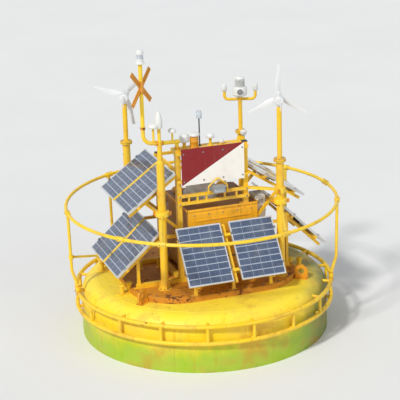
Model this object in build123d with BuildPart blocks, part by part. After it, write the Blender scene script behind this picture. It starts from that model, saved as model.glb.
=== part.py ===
# Floating lidar buoy, modelled about the middle of its hull on the waterline.
# X runs to the right of the front side, Y runs away from the front, Z is up.
# All lengths are millimetres, all angles degrees.
from build123d import *
from math import cos, degrees, radians, sin
import os

# Clearances between pieces that meet.
seat_gap = 0.3
running_gap = 3.0
shaft_fit = 0.05

# Hull and deck.
hull_radius = 1800.0
deck_height = 800.0
shoulder_radius = 240.0
chine_height = -100.0
hull_draft = 500.0
hull_bottom_radius = 1000.0
plinth_length = 2480.0
plinth_width = 2180.0
plinth_corner = 720.0
plinth_thickness = 80.0

# Fender round the hull.
fender_offset = 62.0
fender_tube_radius = 30.0
fender_upper_height = 700.0
fender_lower_height = 455.0
fender_post_radius = 22.0
fender_post_count = 18
fender_first_post = -68.0

# Guard ring, its couplings, posts and struts.
ring_radius = 1950.0
ring_height = 1910.0
ring_tube_radius = 24.0
coupling_radius = 36.0
coupling_length = 110.0
post_tube_radius = 22.0
post_lean = 12.0
post_knee_height = 1050.0
post_bend = 160.0
foot_radius = 34.0
foot_length = 60.0
ring_post_angles = (-25.0, 29.0, 117.0, 174.5)
ring_joint_angles = (0.0, 67.0, 217.0)
ring_strut_angles = (235.0, 286.0)
strut_tube_radius = 18.0
collar_wall = 22.0
strut_embed = 8.0
strut_rise = 90.0
strut_collar_wall = 40.0

# Lifting eyes on the deck.
eye_reach = 1460.0
eye_angles = (-145.0, -35.0, 35.0, 145.0)
eye_hole_radius = 45.0
eye_radius = 95.0
eye_thickness = 30.0
eye_rise = 110.0

# Keel frame, ballast and mooring eye under the hull.
keel_top_reach = 640.0
keel_bottom_reach = 300.0
keel_depth = 1350.0
keel_leg_radius = 38.0
keel_leg_count = 4
keel_leg_overrun = 60.0
ballast_radius = 420.0
ballast_thickness = 110.0
mooring_hole_radius = 40.0
mooring_radius = 90.0
mooring_thickness = 50.0

# Beams on the plinth.
beam_width = 70.0
beam_depth = 60.0
beam_reach = 1160.0

# Tower frame.
tower_left = -492.0
tower_right = 505.0
tower_half_depth = 460.0
tower_post_width = 70.0
tower_top = 2840.0
tower_back_top = 2550.0
tower_rail_width = 40.0
sign_rail_heights = (2380.0, 2780.0)
back_rail_heights = (2260.0, 2510.0)
rail_over_ring = 255.0
rail_spacing = 110.0
rail_spacer_width = 24.0
rail_spacer_places = (-360.0, -234.0, -100.0, 173.0, 350.0)
shelf_thickness = 6.0
shelf_depth = 200.0
shelf_gusset_drop = 150.0
shelf_gusset_thickness = 8.0
shelf_slot_length = 70.0
shelf_slot_width = 34.0
shelf_slot_pitch = (110.0, 90.0)
shelf_slot_counts = (7, 1)

# Work lamp in a yoke on the upper hand rail.
yoke_left = -86.0
yoke_right = 193.0
yoke_stand_off = 60.0
yoke_shoulder = 110.0
yoke_rise = 225.0
yoke_bend = 28.0
yoke_radius = 11.0
lamp_width = 180.0
lamp_depth = 80.0
lamp_height = 100.0
lamp_rise = 75.0
lamp_rounding = 12.0
lamp_pin_radius = 8.0

# Equipment cabin with two doors at the back.
cabin_left = -380.0
cabin_right = 670.0
cabin_front = -500.0
cabin_back = 500.0
cabin_top = 1940.0
cabin_wall = 30.0
door_thickness = 32.0
door_gap = 4.0
hinge_radius = 11.0
hinge_pin_radius = 5.0
hinge_length = 80.0
hinge_barrel = 30.0
hinge_leaf = 5.0
hinge_stand_off = 15.0
hinge_inset = 110.0
hinge_leaf_depth = 90.0
hinge_strap = 55.0
handle_inset = 60.0
handle_length = 140.0
handle_stand_off = 30.0
handle_radius = 9.0
handle_stud_radius = 7.0
panel_inset = 70.0
panel_raise = 6.0
panel_corner = 20.0
door_corner = 14.0
battery_gap = 40.0
battery_corner = 15.0
battery_width = 620.0
battery_depth = 420.0
battery_height = 420.0

# Instrument locker on the cabin's right wall.
locker_front = -410.0
locker_back = -170.0
locker_bottom = 1660.0
locker_top = 1990.0
locker_depth = 165.0
locker_rounding = 22.0

# Lidar unit on the cabin roof.
lidar_x = 20.0
lidar_y = 90.0
lidar_radius = 205.0
lidar_height = 690.0
lidar_foot_radius = 250.0
lidar_foot_height = 60.0
lidar_window_radius = 120.0

# Sign board on the front of the tower.
sign_left = -460.0
sign_right = 467.0
sign_bottom = 2325.0
sign_top = 2850.0
sign_thickness = 12.0

# Front mast with its gooseneck, lantern and topmark.
mast_x = -798.0
mast_y = -634.0
mast_radius = 55.0
mast_upper_radius = 34.0
mast_step_height = 2720.0
mast_plate_radius = 95.0
mast_plate_thickness = 14.0
neck_radius = 28.0
neck_rise = 110.0
neck_climb = 62.0
neck_x = -1026.0
neck_y = -640.0
neck_low_bend = 60.0
neck_bend = 130.0
neck_top = 4145.0
lantern_radius = 50.0
lantern_height = 195.0
topmark_drop = 325.0
topmark_arm = 315.0
topmark_arm_width = 70.0
topmark_arm_thickness = 10.0
topmark_turn = 39.0
topmark_sleeve_wall = 10.0
topmark_sleeve_length = 170.0

# Turbine poles.
pole_radius = 55.0
pole_upper_radius = 35.0
flange_radius = 88.0
flange_thickness = 40.0
# Columns: name, x, y, flange height, hub height, facing angle of the rotor, blade phase.
turbines = (
    ("right", 910.0, -780.0, 2600.0, 3460.0, 71.0, 93.0),
    ("left", -840.0, 850.0, 2650.0, 3320.0, 71.0, 16.0),
)
yaw_drop = 90.0
yaw_radius = 42.0
yaw_pin_radius = 16.0
yaw_pin_length = 50.0
shaft_radius = 12.0
shaft_length = 50.0

# Nacelles and rotors.
nacelle_radius = 62.0
nacelle_length = 230.0
tail_length = 330.0
tail_height = 190.0
tail_thickness = 8.0
# Columns: share of the tail's length, share of its height.
tail_outline = (
    (0.0, -0.08),
    (0.55, -0.08),
    (0.75, -0.3),
    (1.0, -0.3),
    (1.0, 0.7),
    (0.85, 0.7),
    (0.55, 0.08),
    (0.0, 0.08),
)
tail_embed = 30.0
rotor_offset = 150.0
hub_radius = 58.0
hub_length = 60.0
spinner_length = 60.0
blade_count = 3
# Columns: distance from the axis, chord, thickness, twist from the rotor's plane.
blade_sections = (
    (40.0, 46.0, 22.0, 32.0),
    (130.0, 82.0, 15.0, 20.0),
    (300.0, 66.0, 10.0, 9.0),
    (465.0, 46.0, 6.0, 4.0),
)

# Sensor mast at the back right, with its cross bar.
sensor_mast_x = 947.0
sensor_mast_y = 840.0
sensor_mast_radius = 48.0
sensor_mast_upper_radius = 31.0
sensor_mast_step = 2600.0
sensor_flange_radius = 80.0
sensor_mast_plate_radius = 75.0
sensor_mast_head = 40.0
cross_bar_height = 3100.0
cross_bar_reach = 230.0
cross_bar_radius = 22.0
cross_bar_angle = -20.0
cross_bar_bend = 60.0
cross_bar_upturn = 125.0
tip_radius = 40.0
tip_height = 110.0
# Columns: height over the mast's head, radius.
weather_head = (
    (0.0, 60.0),
    (30.0, 110.0),
    (150.0, 104.0),
    (170.0, 78.0),
    (270.0, 72.0),
    (310.0, 40.0),
)

# Aerials on the top shelf and on the gooseneck over the front mast.
# Columns: x, y, what it stands on, stem height, stem radius, head height, head radius, top radius.
antennas = (
    (-345.0, -340.0, "shelf", 95.0, 24.0, 120.0, 72.0, 45.0),
    (-200.0, -350.0, "shelf", 170.0, 62.0, 44.0, 80.0, 60.0),
    (-105.0, -310.0, "shelf", 400.0, 9.0, 115.0, 44.0, 34.0),
    (40.0, -350.0, "shelf", 115.0, 20.0, 62.0, 60.0, 36.0),
    (210.0, -340.0, "shelf", 20.0, 18.0, 48.0, 40.0, 26.0),
    (-798.0, -634.0, "neck", 185.0, 24.0, 235.0, 52.0, 18.0),
    (-880.0, -636.0, "neck", 200.0, 16.0, 60.0, 72.0, 42.0),
    (-570.0, -515.0, "post", 135.0, 14.0, 55.0, 60.0, 38.0),
)

# Solar modules and their racks.
module_width = 655.0
module_length = 868.0
module_thickness = 35.0
module_border = 26.0
module_rebate = 16.0
laminate_thickness = 6.0
front_module_gap = 125.0
side_module_gap = 30.0
front_array_x = 80.0
side_array_y = 105.0
# Columns: side it faces, distance of the low edge, height of the low edge, tilt, row.
arrays = (
    ("front", 1222.0, 1068.0, 52.0, "lower"),
    ("left", 1457.0, 1104.0, 41.5, "lower"),
    ("left", 1264.0, 2011.0, 35.3, "upper"),
    ("right", 1683.0, 1170.0, 45.0, "lower"),
    ("right", 1361.0, 1941.0, 33.0, "upper"),
)
rack_bar = 40.0
purlin_shares = (0.2, 0.8)
front_beam_spread = 560.0
front_leg_reach = 1040.0
side_leg_reach = 1130.0
leg_height = 900.0
tie_length = 600.0
front_tie_height = 1500.0
side_tie_height = 1580.0
upper_beam_extra = 400.0
brace_foot_height = 1700.0
brace_reach = 1080.0
brace_climb = 200.0

plinth_top = deck_height + plinth_thickness
fender_radius = hull_radius + fender_offset
cabin_floor = plinth_top + beam_depth
post_face_left = tower_left - tower_post_width / 2
post_face_right = tower_right + tower_post_width / 2
long_rail_height = ring_height + rail_over_ring
short_rail_height = long_rail_height - rail_spacing
shelf_top = sign_rail_heights[1] + tower_rail_width / 2 + shelf_thickness
neck_height = tower_top + neck_rise
topmark_height = neck_top - topmark_drop
sensor_mast_top = cross_bar_height + sensor_mast_head


def on_circle(radius, angle, height):
    """A point at an angle round the buoy's axis."""
    return (radius * cos(radians(angle)), radius * sin(radians(angle)), height)


def add_tube(points, radius, bend=None, mode=Mode.ADD):
    """Add or cut a round bar along straight runs, with bends between them."""
    with BuildLine() as path:
        if bend is None:
            Polyline(*points)
        else:
            FilletPolyline(*points, radius=bend)
    with BuildSketch(Plane(path.line ^ 0)) as section:
        Circle(radius)
    sweep(section.sketch, path=path.line, mode=mode)


def add_cylinder(start, end, radius):
    """Add a straight round bar between two points."""
    run = Vector(*end) - Vector(*start)
    with BuildSketch(Plane(origin=start, z_dir=run)) as section:
        Circle(radius)
    extrude(section.sketch, amount=run.length)


def add_bar(start, end, width, depth, across=(0, 0, 1)):
    """Add a square-edged bar between two points; depth is measured along across."""
    run = Vector(*end) - Vector(*start)
    with BuildSketch(Plane(origin=start, x_dir=across, z_dir=run)) as section:
        Rectangle(depth, width)
    extrude(section.sketch, amount=run.length)


def add_box(low, high):
    """Add a box between its lowest and highest corners."""
    width, depth, height = (top - bottom for bottom, top in zip(low, high))
    with BuildSketch(Plane((low[0] + width / 2, low[1] + depth / 2, low[2]))) as base:
        Rectangle(width, depth)
    extrude(base.sketch, amount=height)


def cut_hoop(radius, height, tube_radius):
    """Cut a saddle for a hoop that lies level round the buoy's axis."""
    with BuildSketch(Plane.XZ) as section:
        with Locations((radius, height)):
            Circle(tube_radius)
    revolve(section.sketch, axis=Axis.Z, mode=Mode.SUBTRACT)


def save(piece, name):
    """Label a finished piece and write its file."""
    piece.label = name
    export_step(piece, f"parts/{name}.step")


def hull_body(grow=0.0):
    """The discus hull, or the same form grown outwards for cutting its neighbours."""
    radius = hull_radius + grow
    deck = deck_height + grow
    shoulder = shoulder_radius + grow
    bottom = -hull_draft - grow
    with BuildPart() as hull:
        with BuildSketch(Plane.XZ):
            with BuildLine():
                deck_line = Line((0, deck), (radius - shoulder, deck))
                edge = TangentArc(deck_line @ 1, (radius, deck - shoulder), tangent=(1, 0))
                side = Line(edge @ 1, (radius, chine_height))
                Polyline(side @ 1, (hull_bottom_radius + grow, bottom), (0, bottom), (0, deck))
            make_face()
        revolve(axis=Axis.Z)
    return hull.part


def make_hull():
    save(hull_body(), "hull")


def make_deck_plinth():
    """The low base that the superstructure stands on."""
    with BuildPart() as plinth:
        with BuildSketch(Plane.XY.offset(deck_height)):
            RectangleRounded(plinth_length, plinth_width, plinth_corner)
        extrude(amount=plinth_thickness)
        chamfer(plinth.edges().group_by(Axis.Z)[-1], 6)
    save(plinth.part, "deck_plinth")


def fender_angles():
    return [fender_first_post + index * 360 / fender_post_count for index in range(fender_post_count)]


def make_fender_rails():
    """Two tube hoops with short posts between them and stand-offs to the hull."""
    heights = (fender_upper_height, fender_lower_height)
    with BuildPart() as fender:
        for angle in fender_angles():
            for height in heights:
                inner = on_circle(hull_radius - shoulder_radius / 2, angle, height)
                add_cylinder(inner, on_circle(fender_radius, angle, height), fender_post_radius)
        add(hull_body(grow=seat_gap), mode=Mode.SUBTRACT)
        for angle in fender_angles():
            low = on_circle(fender_radius, angle, heights[1])
            add_cylinder(low, on_circle(fender_radius, angle, heights[0]), fender_post_radius)
        with BuildSketch(Plane.XZ):
            with Locations(*((fender_radius, height) for height in heights)):
                Circle(fender_tube_radius)
        revolve(axis=Axis.Z)
    save(fender.part, "fender_rails")


def ring_break_angles():
    """Where the guard ring is coupled, in order round it."""
    angles = ring_post_angles + ring_joint_angles + ring_strut_angles
    return sorted(angle % 360 for angle in angles)


def make_guard_ring():
    """The ring's arcs, from one coupling's middle to the next."""
    breaks = ring_break_angles()
    clear = degrees(seat_gap / ring_radius)
    with BuildPart() as ring:
        for first, last in zip(breaks, breaks[1:] + [breaks[0] + 360]):
            start = first + clear
            with BuildLine() as path:
                CenterArc((0, 0, ring_height), ring_radius, start, last - clear - start)
            with BuildSketch(Plane(path.line ^ 0)) as section:
                Circle(ring_tube_radius)
            sweep(section.sketch, path=path.line)
    save(ring.part, "guard_ring")


def make_ring_couplings():
    """Sleeves over the joints of the guard ring's arcs."""
    spread = degrees(coupling_length / 2 / ring_radius)
    with BuildPart() as couplings:
        for angle in ring_break_angles():
            with BuildLine() as path:
                CenterArc((0, 0, ring_height), ring_radius, angle - spread, 2 * spread)
            with BuildSketch(Plane(path.line ^ 0)) as section:
                Circle(coupling_radius)
                Circle(ring_tube_radius + seat_gap, mode=Mode.SUBTRACT)
            sweep(section.sketch, path=path.line)
    save(couplings.part, "ring_couplings")


def make_ring_posts():
    """Posts from the ring's couplings, bent in to the upper fender rail at the knee."""
    foot_top = fender_upper_height + fender_tube_radius + foot_length
    with BuildPart() as posts:
        for angle in ring_post_angles:
            points = (
                on_circle(ring_radius, angle, ring_height),
                on_circle(ring_radius - post_lean, angle, post_knee_height),
                on_circle(fender_radius, angle, foot_top),
                on_circle(fender_radius, angle, fender_upper_height),
            )
            add_tube(points, post_tube_radius, bend=(post_bend, foot_length / 2))
            add_cylinder(points[3], points[2], foot_radius)
        cut_hoop(ring_radius, ring_height, coupling_radius + seat_gap)
        cut_hoop(fender_radius, fender_upper_height, fender_tube_radius + seat_gap)
    save(posts.part, "ring_posts")


def make_ring_struts():
    """Struts from collars on the front mast and right turbine pole down to the guard ring."""
    anchors = ((mast_x, mast_y, mast_radius), (turbines[0][1], turbines[0][2], pole_radius))
    with BuildPart() as struts:
        for angle, (x, y, radius) in zip(ring_strut_angles, anchors):
            ring_point = Vector(*on_circle(ring_radius, angle, ring_height))
            centre = Vector(x, y, ring_height + strut_rise)
            run = ring_point - centre
            with BuildSketch(Plane.XY.offset(centre.Z - coupling_radius)) as collar:
                with Locations((x, y)):
                    Circle(radius + strut_collar_wall)
                    Circle(radius + seat_gap, mode=Mode.SUBTRACT)
            extrude(collar.sketch, amount=2 * coupling_radius)
            add_cylinder(centre + run.normalized() * (radius + strut_embed), ring_point, strut_tube_radius)
        cut_hoop(ring_radius, ring_height, coupling_radius + seat_gap)
    save(struts.part, "ring_struts")


def make_lifting_eyes():
    """Upright plates with a hole, on the deck between plinth and shoulder."""
    with BuildPart() as eyes:
        for angle in eye_angles:
            foot = on_circle(eye_reach, angle, deck_height)
            face = Plane(origin=foot, x_dir=(cos(radians(angle)), sin(radians(angle)), 0),
                         z_dir=(sin(radians(angle)), -cos(radians(angle)), 0))
            with BuildSketch(face) as outline:
                with Locations((0, eye_rise)):
                    Circle(eye_radius)
                with Locations((0, eye_rise / 2)):
                    Rectangle(2 * eye_radius, eye_rise)
                with Locations((0, eye_rise)):
                    Circle(eye_hole_radius, mode=Mode.SUBTRACT)
            extrude(outline.sketch, amount=eye_thickness / 2, both=True)
    save(eyes.part, "lifting_eyes")


def make_keel_frame():
    """Legs that lean in from the hull's bottom to the ballast."""
    with BuildPart() as keel:
        for index in range(keel_leg_count):
            angle = 45 + index * 360 / keel_leg_count
            top = on_circle(keel_top_reach, angle, -hull_draft + keel_leg_overrun)
            bottom = on_circle(keel_bottom_reach, angle, -keel_depth - keel_leg_overrun)
            add_cylinder(top, bottom, keel_leg_radius)
        for height, keep in ((-hull_draft - seat_gap, Keep.BOTTOM), (-keel_depth + seat_gap, Keep.TOP)):
            split(bisect_by=Plane.XY.offset(height), keep=keep)
    save(keel.part, "keel_frame")


def make_keel_ballast():
    """Round ballast plates with the mooring eye under them."""
    with BuildPart() as ballast:
        with BuildSketch(Plane.XY.offset(-keel_depth)):
            Circle(ballast_radius)
        extrude(amount=-ballast_thickness)
        chamfer(ballast.edges(), 12)
    save(ballast.part, "keel_ballast")


def make_mooring_eye():
    under = -keel_depth - ballast_thickness
    with BuildPart() as eye:
        with BuildSketch(Plane.XZ.offset(-mooring_thickness / 2)):
            with Locations((0, under - mooring_radius / 2)):
                Rectangle(2 * mooring_radius, mooring_radius)
            with Locations((0, under - mooring_radius)):
                Circle(mooring_radius)
                Circle(mooring_hole_radius, mode=Mode.SUBTRACT)
        extrude(amount=mooring_thickness)
    save(eye.part, "mooring_eye")


def make_deck_beams():
    """Beams under the tower and racks, laid on the plinth."""
    middle = plinth_top + beam_depth / 2
    with BuildPart() as beams:
        for y in (-tower_half_depth, tower_half_depth):
            add_bar((-beam_reach, y, middle), (beam_reach, y, middle), beam_width, beam_depth)
        for x in (tower_left, tower_right):
            end = tower_half_depth - beam_width / 2 - seat_gap
            add_bar((x, -end, middle), (x, end, middle), beam_width, beam_depth)
    save(beams.part, "deck_beams")


def make_tower_posts():
    """Upright square tubes: the left pair stands on the beams, the right pair on the cabin."""
    with BuildPart() as posts:
        for x, foot in ((tower_left, cabin_floor), (tower_right, cabin_top)):
            for y, top in ((-tower_half_depth, tower_top), (tower_half_depth, tower_back_top)):
                add_bar((x, y, foot), (x, y, top), tower_post_width, tower_post_width, across=(1, 0, 0))
    save(posts.part, "tower_posts")


def make_tower_rails():
    """Sign rails, hand rails with the lamp's yoke, back and side rails, and the shelf's arms."""
    half = tower_post_width / 2
    face = tower_half_depth + half
    rail_y = face + tower_rail_width / 2
    bar_size = (tower_rail_width, tower_rail_width)
    with BuildPart() as rails:
        for y, heights in ((-rail_y, sign_rail_heights), (rail_y, back_rail_heights)):
            for height in heights:
                add_bar((post_face_left, y, height), (post_face_right, y, height), *bar_size)
        for height in (long_rail_height, short_rail_height):
            add_bar((post_face_left, -rail_y, height), (post_face_right, -rail_y, height), *bar_size)
        for x in rail_spacer_places:
            add_bar((x, -rail_y, short_rail_height), (x, -rail_y, long_rail_height),
                    rail_spacer_width, rail_spacer_width, across=(1, 0, 0))
        add_tube(yoke_points(rail_y), yoke_radius, bend=yoke_bend)
        end = tower_half_depth - half - seat_gap
        arm_height = sign_rail_heights[1]
        for x in (tower_left, tower_right):
            add_bar((x, -end, back_rail_heights[1]), (x, end, back_rail_heights[1]), *bar_size)
            add_bar((x, -end, arm_height), (x, shelf_depth - end, arm_height), *bar_size)
            with BuildSketch(Plane.YZ.offset(x)) as gusset:
                with BuildLine():
                    Polyline((-end, arm_height), (-end, arm_height - shelf_gusset_drop),
                             (shelf_depth - end, arm_height), close=True)
                make_face()
            extrude(gusset.sketch, amount=shelf_gusset_thickness / 2, both=True)
    save(rails.part, "tower_rails")


def yoke_points(rail_y):
    """Corners of the lamp's yoke: out from the upper hand rail, up, over and back."""
    front = -rail_y - yoke_stand_off
    foot, shoulder = long_rail_height, long_rail_height + yoke_shoulder
    return (
        (yoke_left, -rail_y, foot),
        (yoke_left, front, foot),
        (yoke_left, front, shoulder),
        ((yoke_left + yoke_right) / 2, front, long_rail_height + yoke_rise),
        (yoke_right, front, shoulder),
        (yoke_right, front, foot),
        (yoke_right, -rail_y, foot),
    )


def make_rail_lamp():
    """Work lamp: a rounded box that hangs on two pins between the yoke's legs."""
    middle = (yoke_left + yoke_right) / 2
    y = -tower_half_depth - tower_post_width / 2 - tower_rail_width / 2 - yoke_stand_off
    z = long_rail_height + lamp_rise
    reach = (yoke_right - yoke_left) / 2 - yoke_radius - seat_gap
    with BuildPart() as lamp:
        add_box((middle - lamp_width / 2, y - lamp_depth, z - lamp_height / 2),
                (middle + lamp_width / 2, y + yoke_radius, z + lamp_height / 2))
        fillet(lamp.edges().filter_by(Axis.Y), lamp_rounding)
        add_cylinder((middle - reach, y, z), (middle + reach, y, z), lamp_pin_radius)
    save(lamp.part, "rail_lamp")


def make_pole_tie():
    """Tie bar from the end of the upper hand rail to a collar on the right turbine pole."""
    x, y = turbines[0][1:3]
    rail_y = tower_half_depth + tower_post_width / 2 + tower_rail_width / 2
    start = Vector(post_face_right + seat_gap, -rail_y, long_rail_height)
    run = Vector(x, y, long_rail_height) - start
    with BuildPart() as tie:
        with BuildSketch(Plane((x, y, long_rail_height - tower_rail_width))) as collar:
            Circle(pole_radius + collar_wall)
            Circle(pole_radius + seat_gap, mode=Mode.SUBTRACT)
        extrude(collar.sketch, amount=2 * tower_rail_width)
        end = start + run.normalized() * (run.length - pole_radius - strut_embed)
        add_bar(start - run.normalized() * tower_rail_width, end, tower_rail_width, tower_rail_width)
        split(bisect_by=Plane.YZ.offset(post_face_right + seat_gap), keep=Keep.TOP)
    save(tie.part, "pole_tie")


def make_top_shelf():
    """Shelf for the small aerials on the tower's side rails, in front of the lidar's view."""
    low = sign_rail_heights[1] + tower_rail_width / 2
    front = -tower_half_depth + tower_post_width / 2 + seat_gap
    with BuildPart() as shelf:
        with BuildSketch(Plane(((tower_left + tower_right) / 2, front + shelf_depth / 2, low))):
            Rectangle(tower_right - tower_left + tower_rail_width, shelf_depth)
            with GridLocations(*shelf_slot_pitch, *shelf_slot_counts):
                SlotOverall(shelf_slot_length, shelf_slot_width, mode=Mode.SUBTRACT)
        extrude(amount=shelf_thickness)
    save(shelf.part, "top_shelf")


def make_cabin():
    """Hollow equipment cabin, open at the back where the doors close it."""
    width = cabin_right - cabin_left
    height = cabin_top - cabin_floor
    with BuildPart() as cabin:
        add_box((cabin_left, cabin_front, cabin_floor), (cabin_right, cabin_back, cabin_top))
        with BuildSketch(Plane((cabin_left + width / 2, cabin_back, cabin_floor + height / 2),
                               x_dir=(1, 0, 0), z_dir=(0, -1, 0))):
            Rectangle(width - 2 * cabin_wall, height - 2 * cabin_wall)
        extrude(amount=cabin_back - cabin_front - cabin_wall, mode=Mode.SUBTRACT)
    save(cabin.part, "cabin")


def hinge_places():
    """Columns: door name, cabin edge, hinge axis, direction from the edge to the other door."""
    return (
        ("left", cabin_left, cabin_left - hinge_stand_off, 1),
        ("right", cabin_right, cabin_right + hinge_stand_off, -1),
    )


def hinge_heights():
    return (cabin_floor + hinge_inset, cabin_top - hinge_inset)


def make_door_hinges():
    """Fixed halves of the hinges: a leaf on the cabin's side, two barrels and the pin."""
    hinge_y = cabin_back + door_gap + door_thickness / 2
    leaf_back = cabin_back - hinge_leaf_depth
    reach = hinge_length / 2 + hinge_barrel
    high_barrel = hinge_barrel - 1
    with BuildPart() as hinges:
        for name, edge, hinge_x, side in hinge_places():
            wall = edge - side * seat_gap
            leaf_x = sorted((wall, wall - side * hinge_leaf))
            for height in hinge_heights():
                pin_low, pin_high = (hinge_x, hinge_y, height - reach), (hinge_x, hinge_y, height + reach)
                add_cylinder(pin_low, pin_high, hinge_pin_radius)
                for end in (-reach, hinge_length / 2 + 1):
                    low = height + end
                    high = low + high_barrel
                    add_cylinder((hinge_x, hinge_y, low), (hinge_x, hinge_y, high), hinge_radius)
                    add_box((leaf_x[0], leaf_back, low), (leaf_x[1], cabin_back - hinge_leaf, high))
                    knee_x = sorted((hinge_x - side * 2, leaf_x[1] if side > 0 else leaf_x[0]))
                    add_box((knee_x[0], cabin_back - 4 * hinge_leaf, low), (knee_x[1], hinge_y, high))
    save(hinges.part, "door_hinges")


def make_cabin_doors():
    """Two doors that close the back of the cabin, each with its hinge knuckles and handle."""
    middle = (cabin_left + cabin_right) / 2
    inside = cabin_back + door_gap
    outside = inside + door_thickness
    hinge_y = inside + door_thickness / 2
    handle_z = (cabin_floor + cabin_top) / 2
    for name, edge, hinge_x, side in hinge_places():
        inner = middle - side * door_gap / 2
        handle_x = inner - side * handle_inset
        low_x, high_x = sorted((edge + side * 2, inner))
        with BuildPart() as door:
            add_box((low_x, inside, cabin_floor + door_gap), (high_x, outside, cabin_top - door_gap))
            fillet(door.edges().filter_by(Axis.Y), door_corner)
            face_middle = ((low_x + high_x) / 2, outside, handle_z)
            panel_width = high_x - low_x - 2 * panel_inset
            panel_height = cabin_top - cabin_floor - 2 * panel_inset
            with BuildSketch(Plane(face_middle, x_dir=(-1, 0, 0), z_dir=(0, 1, 0))):
                RectangleRounded(panel_width, panel_height, panel_corner)
            extrude(amount=panel_raise)
            for height in hinge_heights():
                low, high = height - hinge_length / 2, height + hinge_length / 2
                add_cylinder((hinge_x, hinge_y, low), (hinge_x, hinge_y, high), hinge_radius)
                leaf = sorted((hinge_x, edge + side * hinge_strap))
                add_box((leaf[0], outside - 8, low), (leaf[1], outside + 3, high))
                with BuildSketch(Plane((hinge_x, hinge_y, low))) as bore:
                    Circle(hinge_pin_radius + seat_gap)
                extrude(bore.sketch, amount=hinge_length, mode=Mode.SUBTRACT)
            for end in (-1, 1):
                stud_z = handle_z + end * handle_length * 0.4
                stud_end = (handle_x, outside + handle_stand_off, stud_z)
                add_cylinder((handle_x, outside - 2, stud_z), stud_end, handle_stud_radius)
            bar_y = outside + handle_stand_off
            add_cylinder((handle_x, bar_y, handle_z - handle_length / 2),
                         (handle_x, bar_y, handle_z + handle_length / 2), handle_radius)
        save(door.part, f"cabin_door_{name}")


def make_battery_block():
    floor = cabin_floor + cabin_wall
    middle = (cabin_left + cabin_right) / 2
    front = cabin_front + cabin_wall + battery_gap
    with BuildPart() as battery:
        add_box((middle - battery_width / 2, front, floor),
                (middle + battery_width / 2, front + battery_depth, floor + battery_height))
        fillet(battery.edges().filter_by(Axis.Z), battery_corner)
    save(battery.part, "battery_block")


def make_side_locker():
    """Closed instrument locker with rounded upright edges on the cabin's right wall."""
    wall = cabin_right + seat_gap
    with BuildPart() as locker:
        add_box((wall, locker_front, locker_bottom), (wall + locker_depth, locker_back, locker_top))
        fillet(locker.faces().sort_by(Axis.X)[-1].edges(), locker_rounding)
    save(locker.part, "side_locker")


def make_lidar_unit():
    """Upright lidar with a foot flange and a round window recessed in its domed head."""
    top = cabin_top + lidar_height
    with BuildPart() as lidar:
        with BuildSketch(Plane.XZ.offset(-lidar_y)):
            with BuildLine():
                outline = Polyline(
                    (lidar_x, cabin_top),
                    (lidar_x + lidar_foot_radius, cabin_top),
                    (lidar_x + lidar_foot_radius, cabin_top + lidar_foot_height),
                    (lidar_x + lidar_radius, cabin_top + lidar_foot_height + 40),
                    (lidar_x + lidar_radius, top - 70),
                    (lidar_x + lidar_window_radius + 20, top),
                    (lidar_x + lidar_window_radius, top),
                    (lidar_x + lidar_window_radius - 8, top - 14),
                    (lidar_x, top - 14),
                    close=True,
                )
            make_face()
        revolve(axis=Axis((lidar_x, lidar_y, 0), (0, 0, 1)))
    save(lidar.part, "lidar_unit")


def make_sign_board():
    rail_face = -tower_half_depth - tower_post_width / 2 - tower_rail_width
    with BuildPart() as sign:
        add_box((sign_left, rail_face - sign_thickness, sign_bottom), (sign_right, rail_face, sign_top))
    save(sign.part, "sign_board")


def add_mast(x, y, foot, step, top, radius, upper_radius, plate_radius=mast_plate_radius):
    """Add a round mast with a base plate and a thinner upper length."""
    add_cylinder((x, y, foot), (x, y, foot + mast_plate_thickness), plate_radius)
    add_cylinder((x, y, foot), (x, y, step), radius)
    add_cylinder((x, y, step), (x, y, top), upper_radius)


def neck_points():
    """Corners of the gooseneck: from the tower post over the mast and up."""
    over_mast = neck_height + neck_climb
    return (
        (tower_left + neck_radius, -tower_half_depth, neck_height),
        (mast_x, mast_y, over_mast),
        (neck_x, neck_y, over_mast + neck_radius),
        (neck_x, neck_y, neck_top),
    )


def make_front_mast():
    """Front mast whose head is cut to a saddle for the gooseneck."""
    with BuildPart() as mast:
        top = neck_height + neck_climb
        add_mast(mast_x, mast_y, plinth_top, mast_step_height, top, mast_radius, mast_upper_radius)
        add_tube(neck_points(), neck_radius + seat_gap, bend=(neck_low_bend, neck_bend), mode=Mode.SUBTRACT)
    save(mast.part, "front_mast")


def make_gooseneck():
    """Tube from the tower's front left post, over the mast and up to the lantern."""
    with BuildPart() as neck:
        add_tube(neck_points(), neck_radius, bend=(neck_low_bend, neck_bend))
        add_cylinder((tower_left, -tower_half_depth, tower_top + seat_gap),
                     (tower_left, -tower_half_depth, neck_height + neck_radius), neck_radius)
    save(neck.part, "gooseneck")


def make_lantern():
    with BuildPart() as lantern:
        low = neck_top + seat_gap
        add_cylinder((neck_x, neck_y, low), (neck_x, neck_y, low + 25), lantern_radius + 12)
        add_cylinder((neck_x, neck_y, low + 25), (neck_x, neck_y, low + lantern_height), lantern_radius)
        fillet(lantern.edges().group_by(Axis.Z)[-1], 14)
    save(lantern.part, "lantern")


def make_topmark():
    """Cross of two flat bars on a sleeve round the pole."""
    turn = radians(topmark_turn)
    middle = Vector(neck_x, neck_y, topmark_height)
    face = Plane(origin=middle, x_dir=(cos(turn), sin(turn), 0), z_dir=(sin(turn), -cos(turn), 0))
    low = middle - Vector(0, 0, topmark_sleeve_length / 2)
    with BuildPart() as topmark:
        with BuildSketch(face) as arms:
            for angle in (-45, 45):
                Rectangle(topmark_arm_width, 2 * topmark_arm, rotation=angle)
        extrude(arms.sketch, amount=topmark_arm_thickness / 2, both=True)
        add_cylinder(low, low + Vector(0, 0, topmark_sleeve_length), neck_radius + topmark_sleeve_wall)
        with BuildSketch(Plane(low)) as bore:
            Circle(neck_radius + seat_gap)
        extrude(bore.sketch, amount=topmark_sleeve_length, mode=Mode.SUBTRACT)
    save(topmark.part, "topmark")


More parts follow.
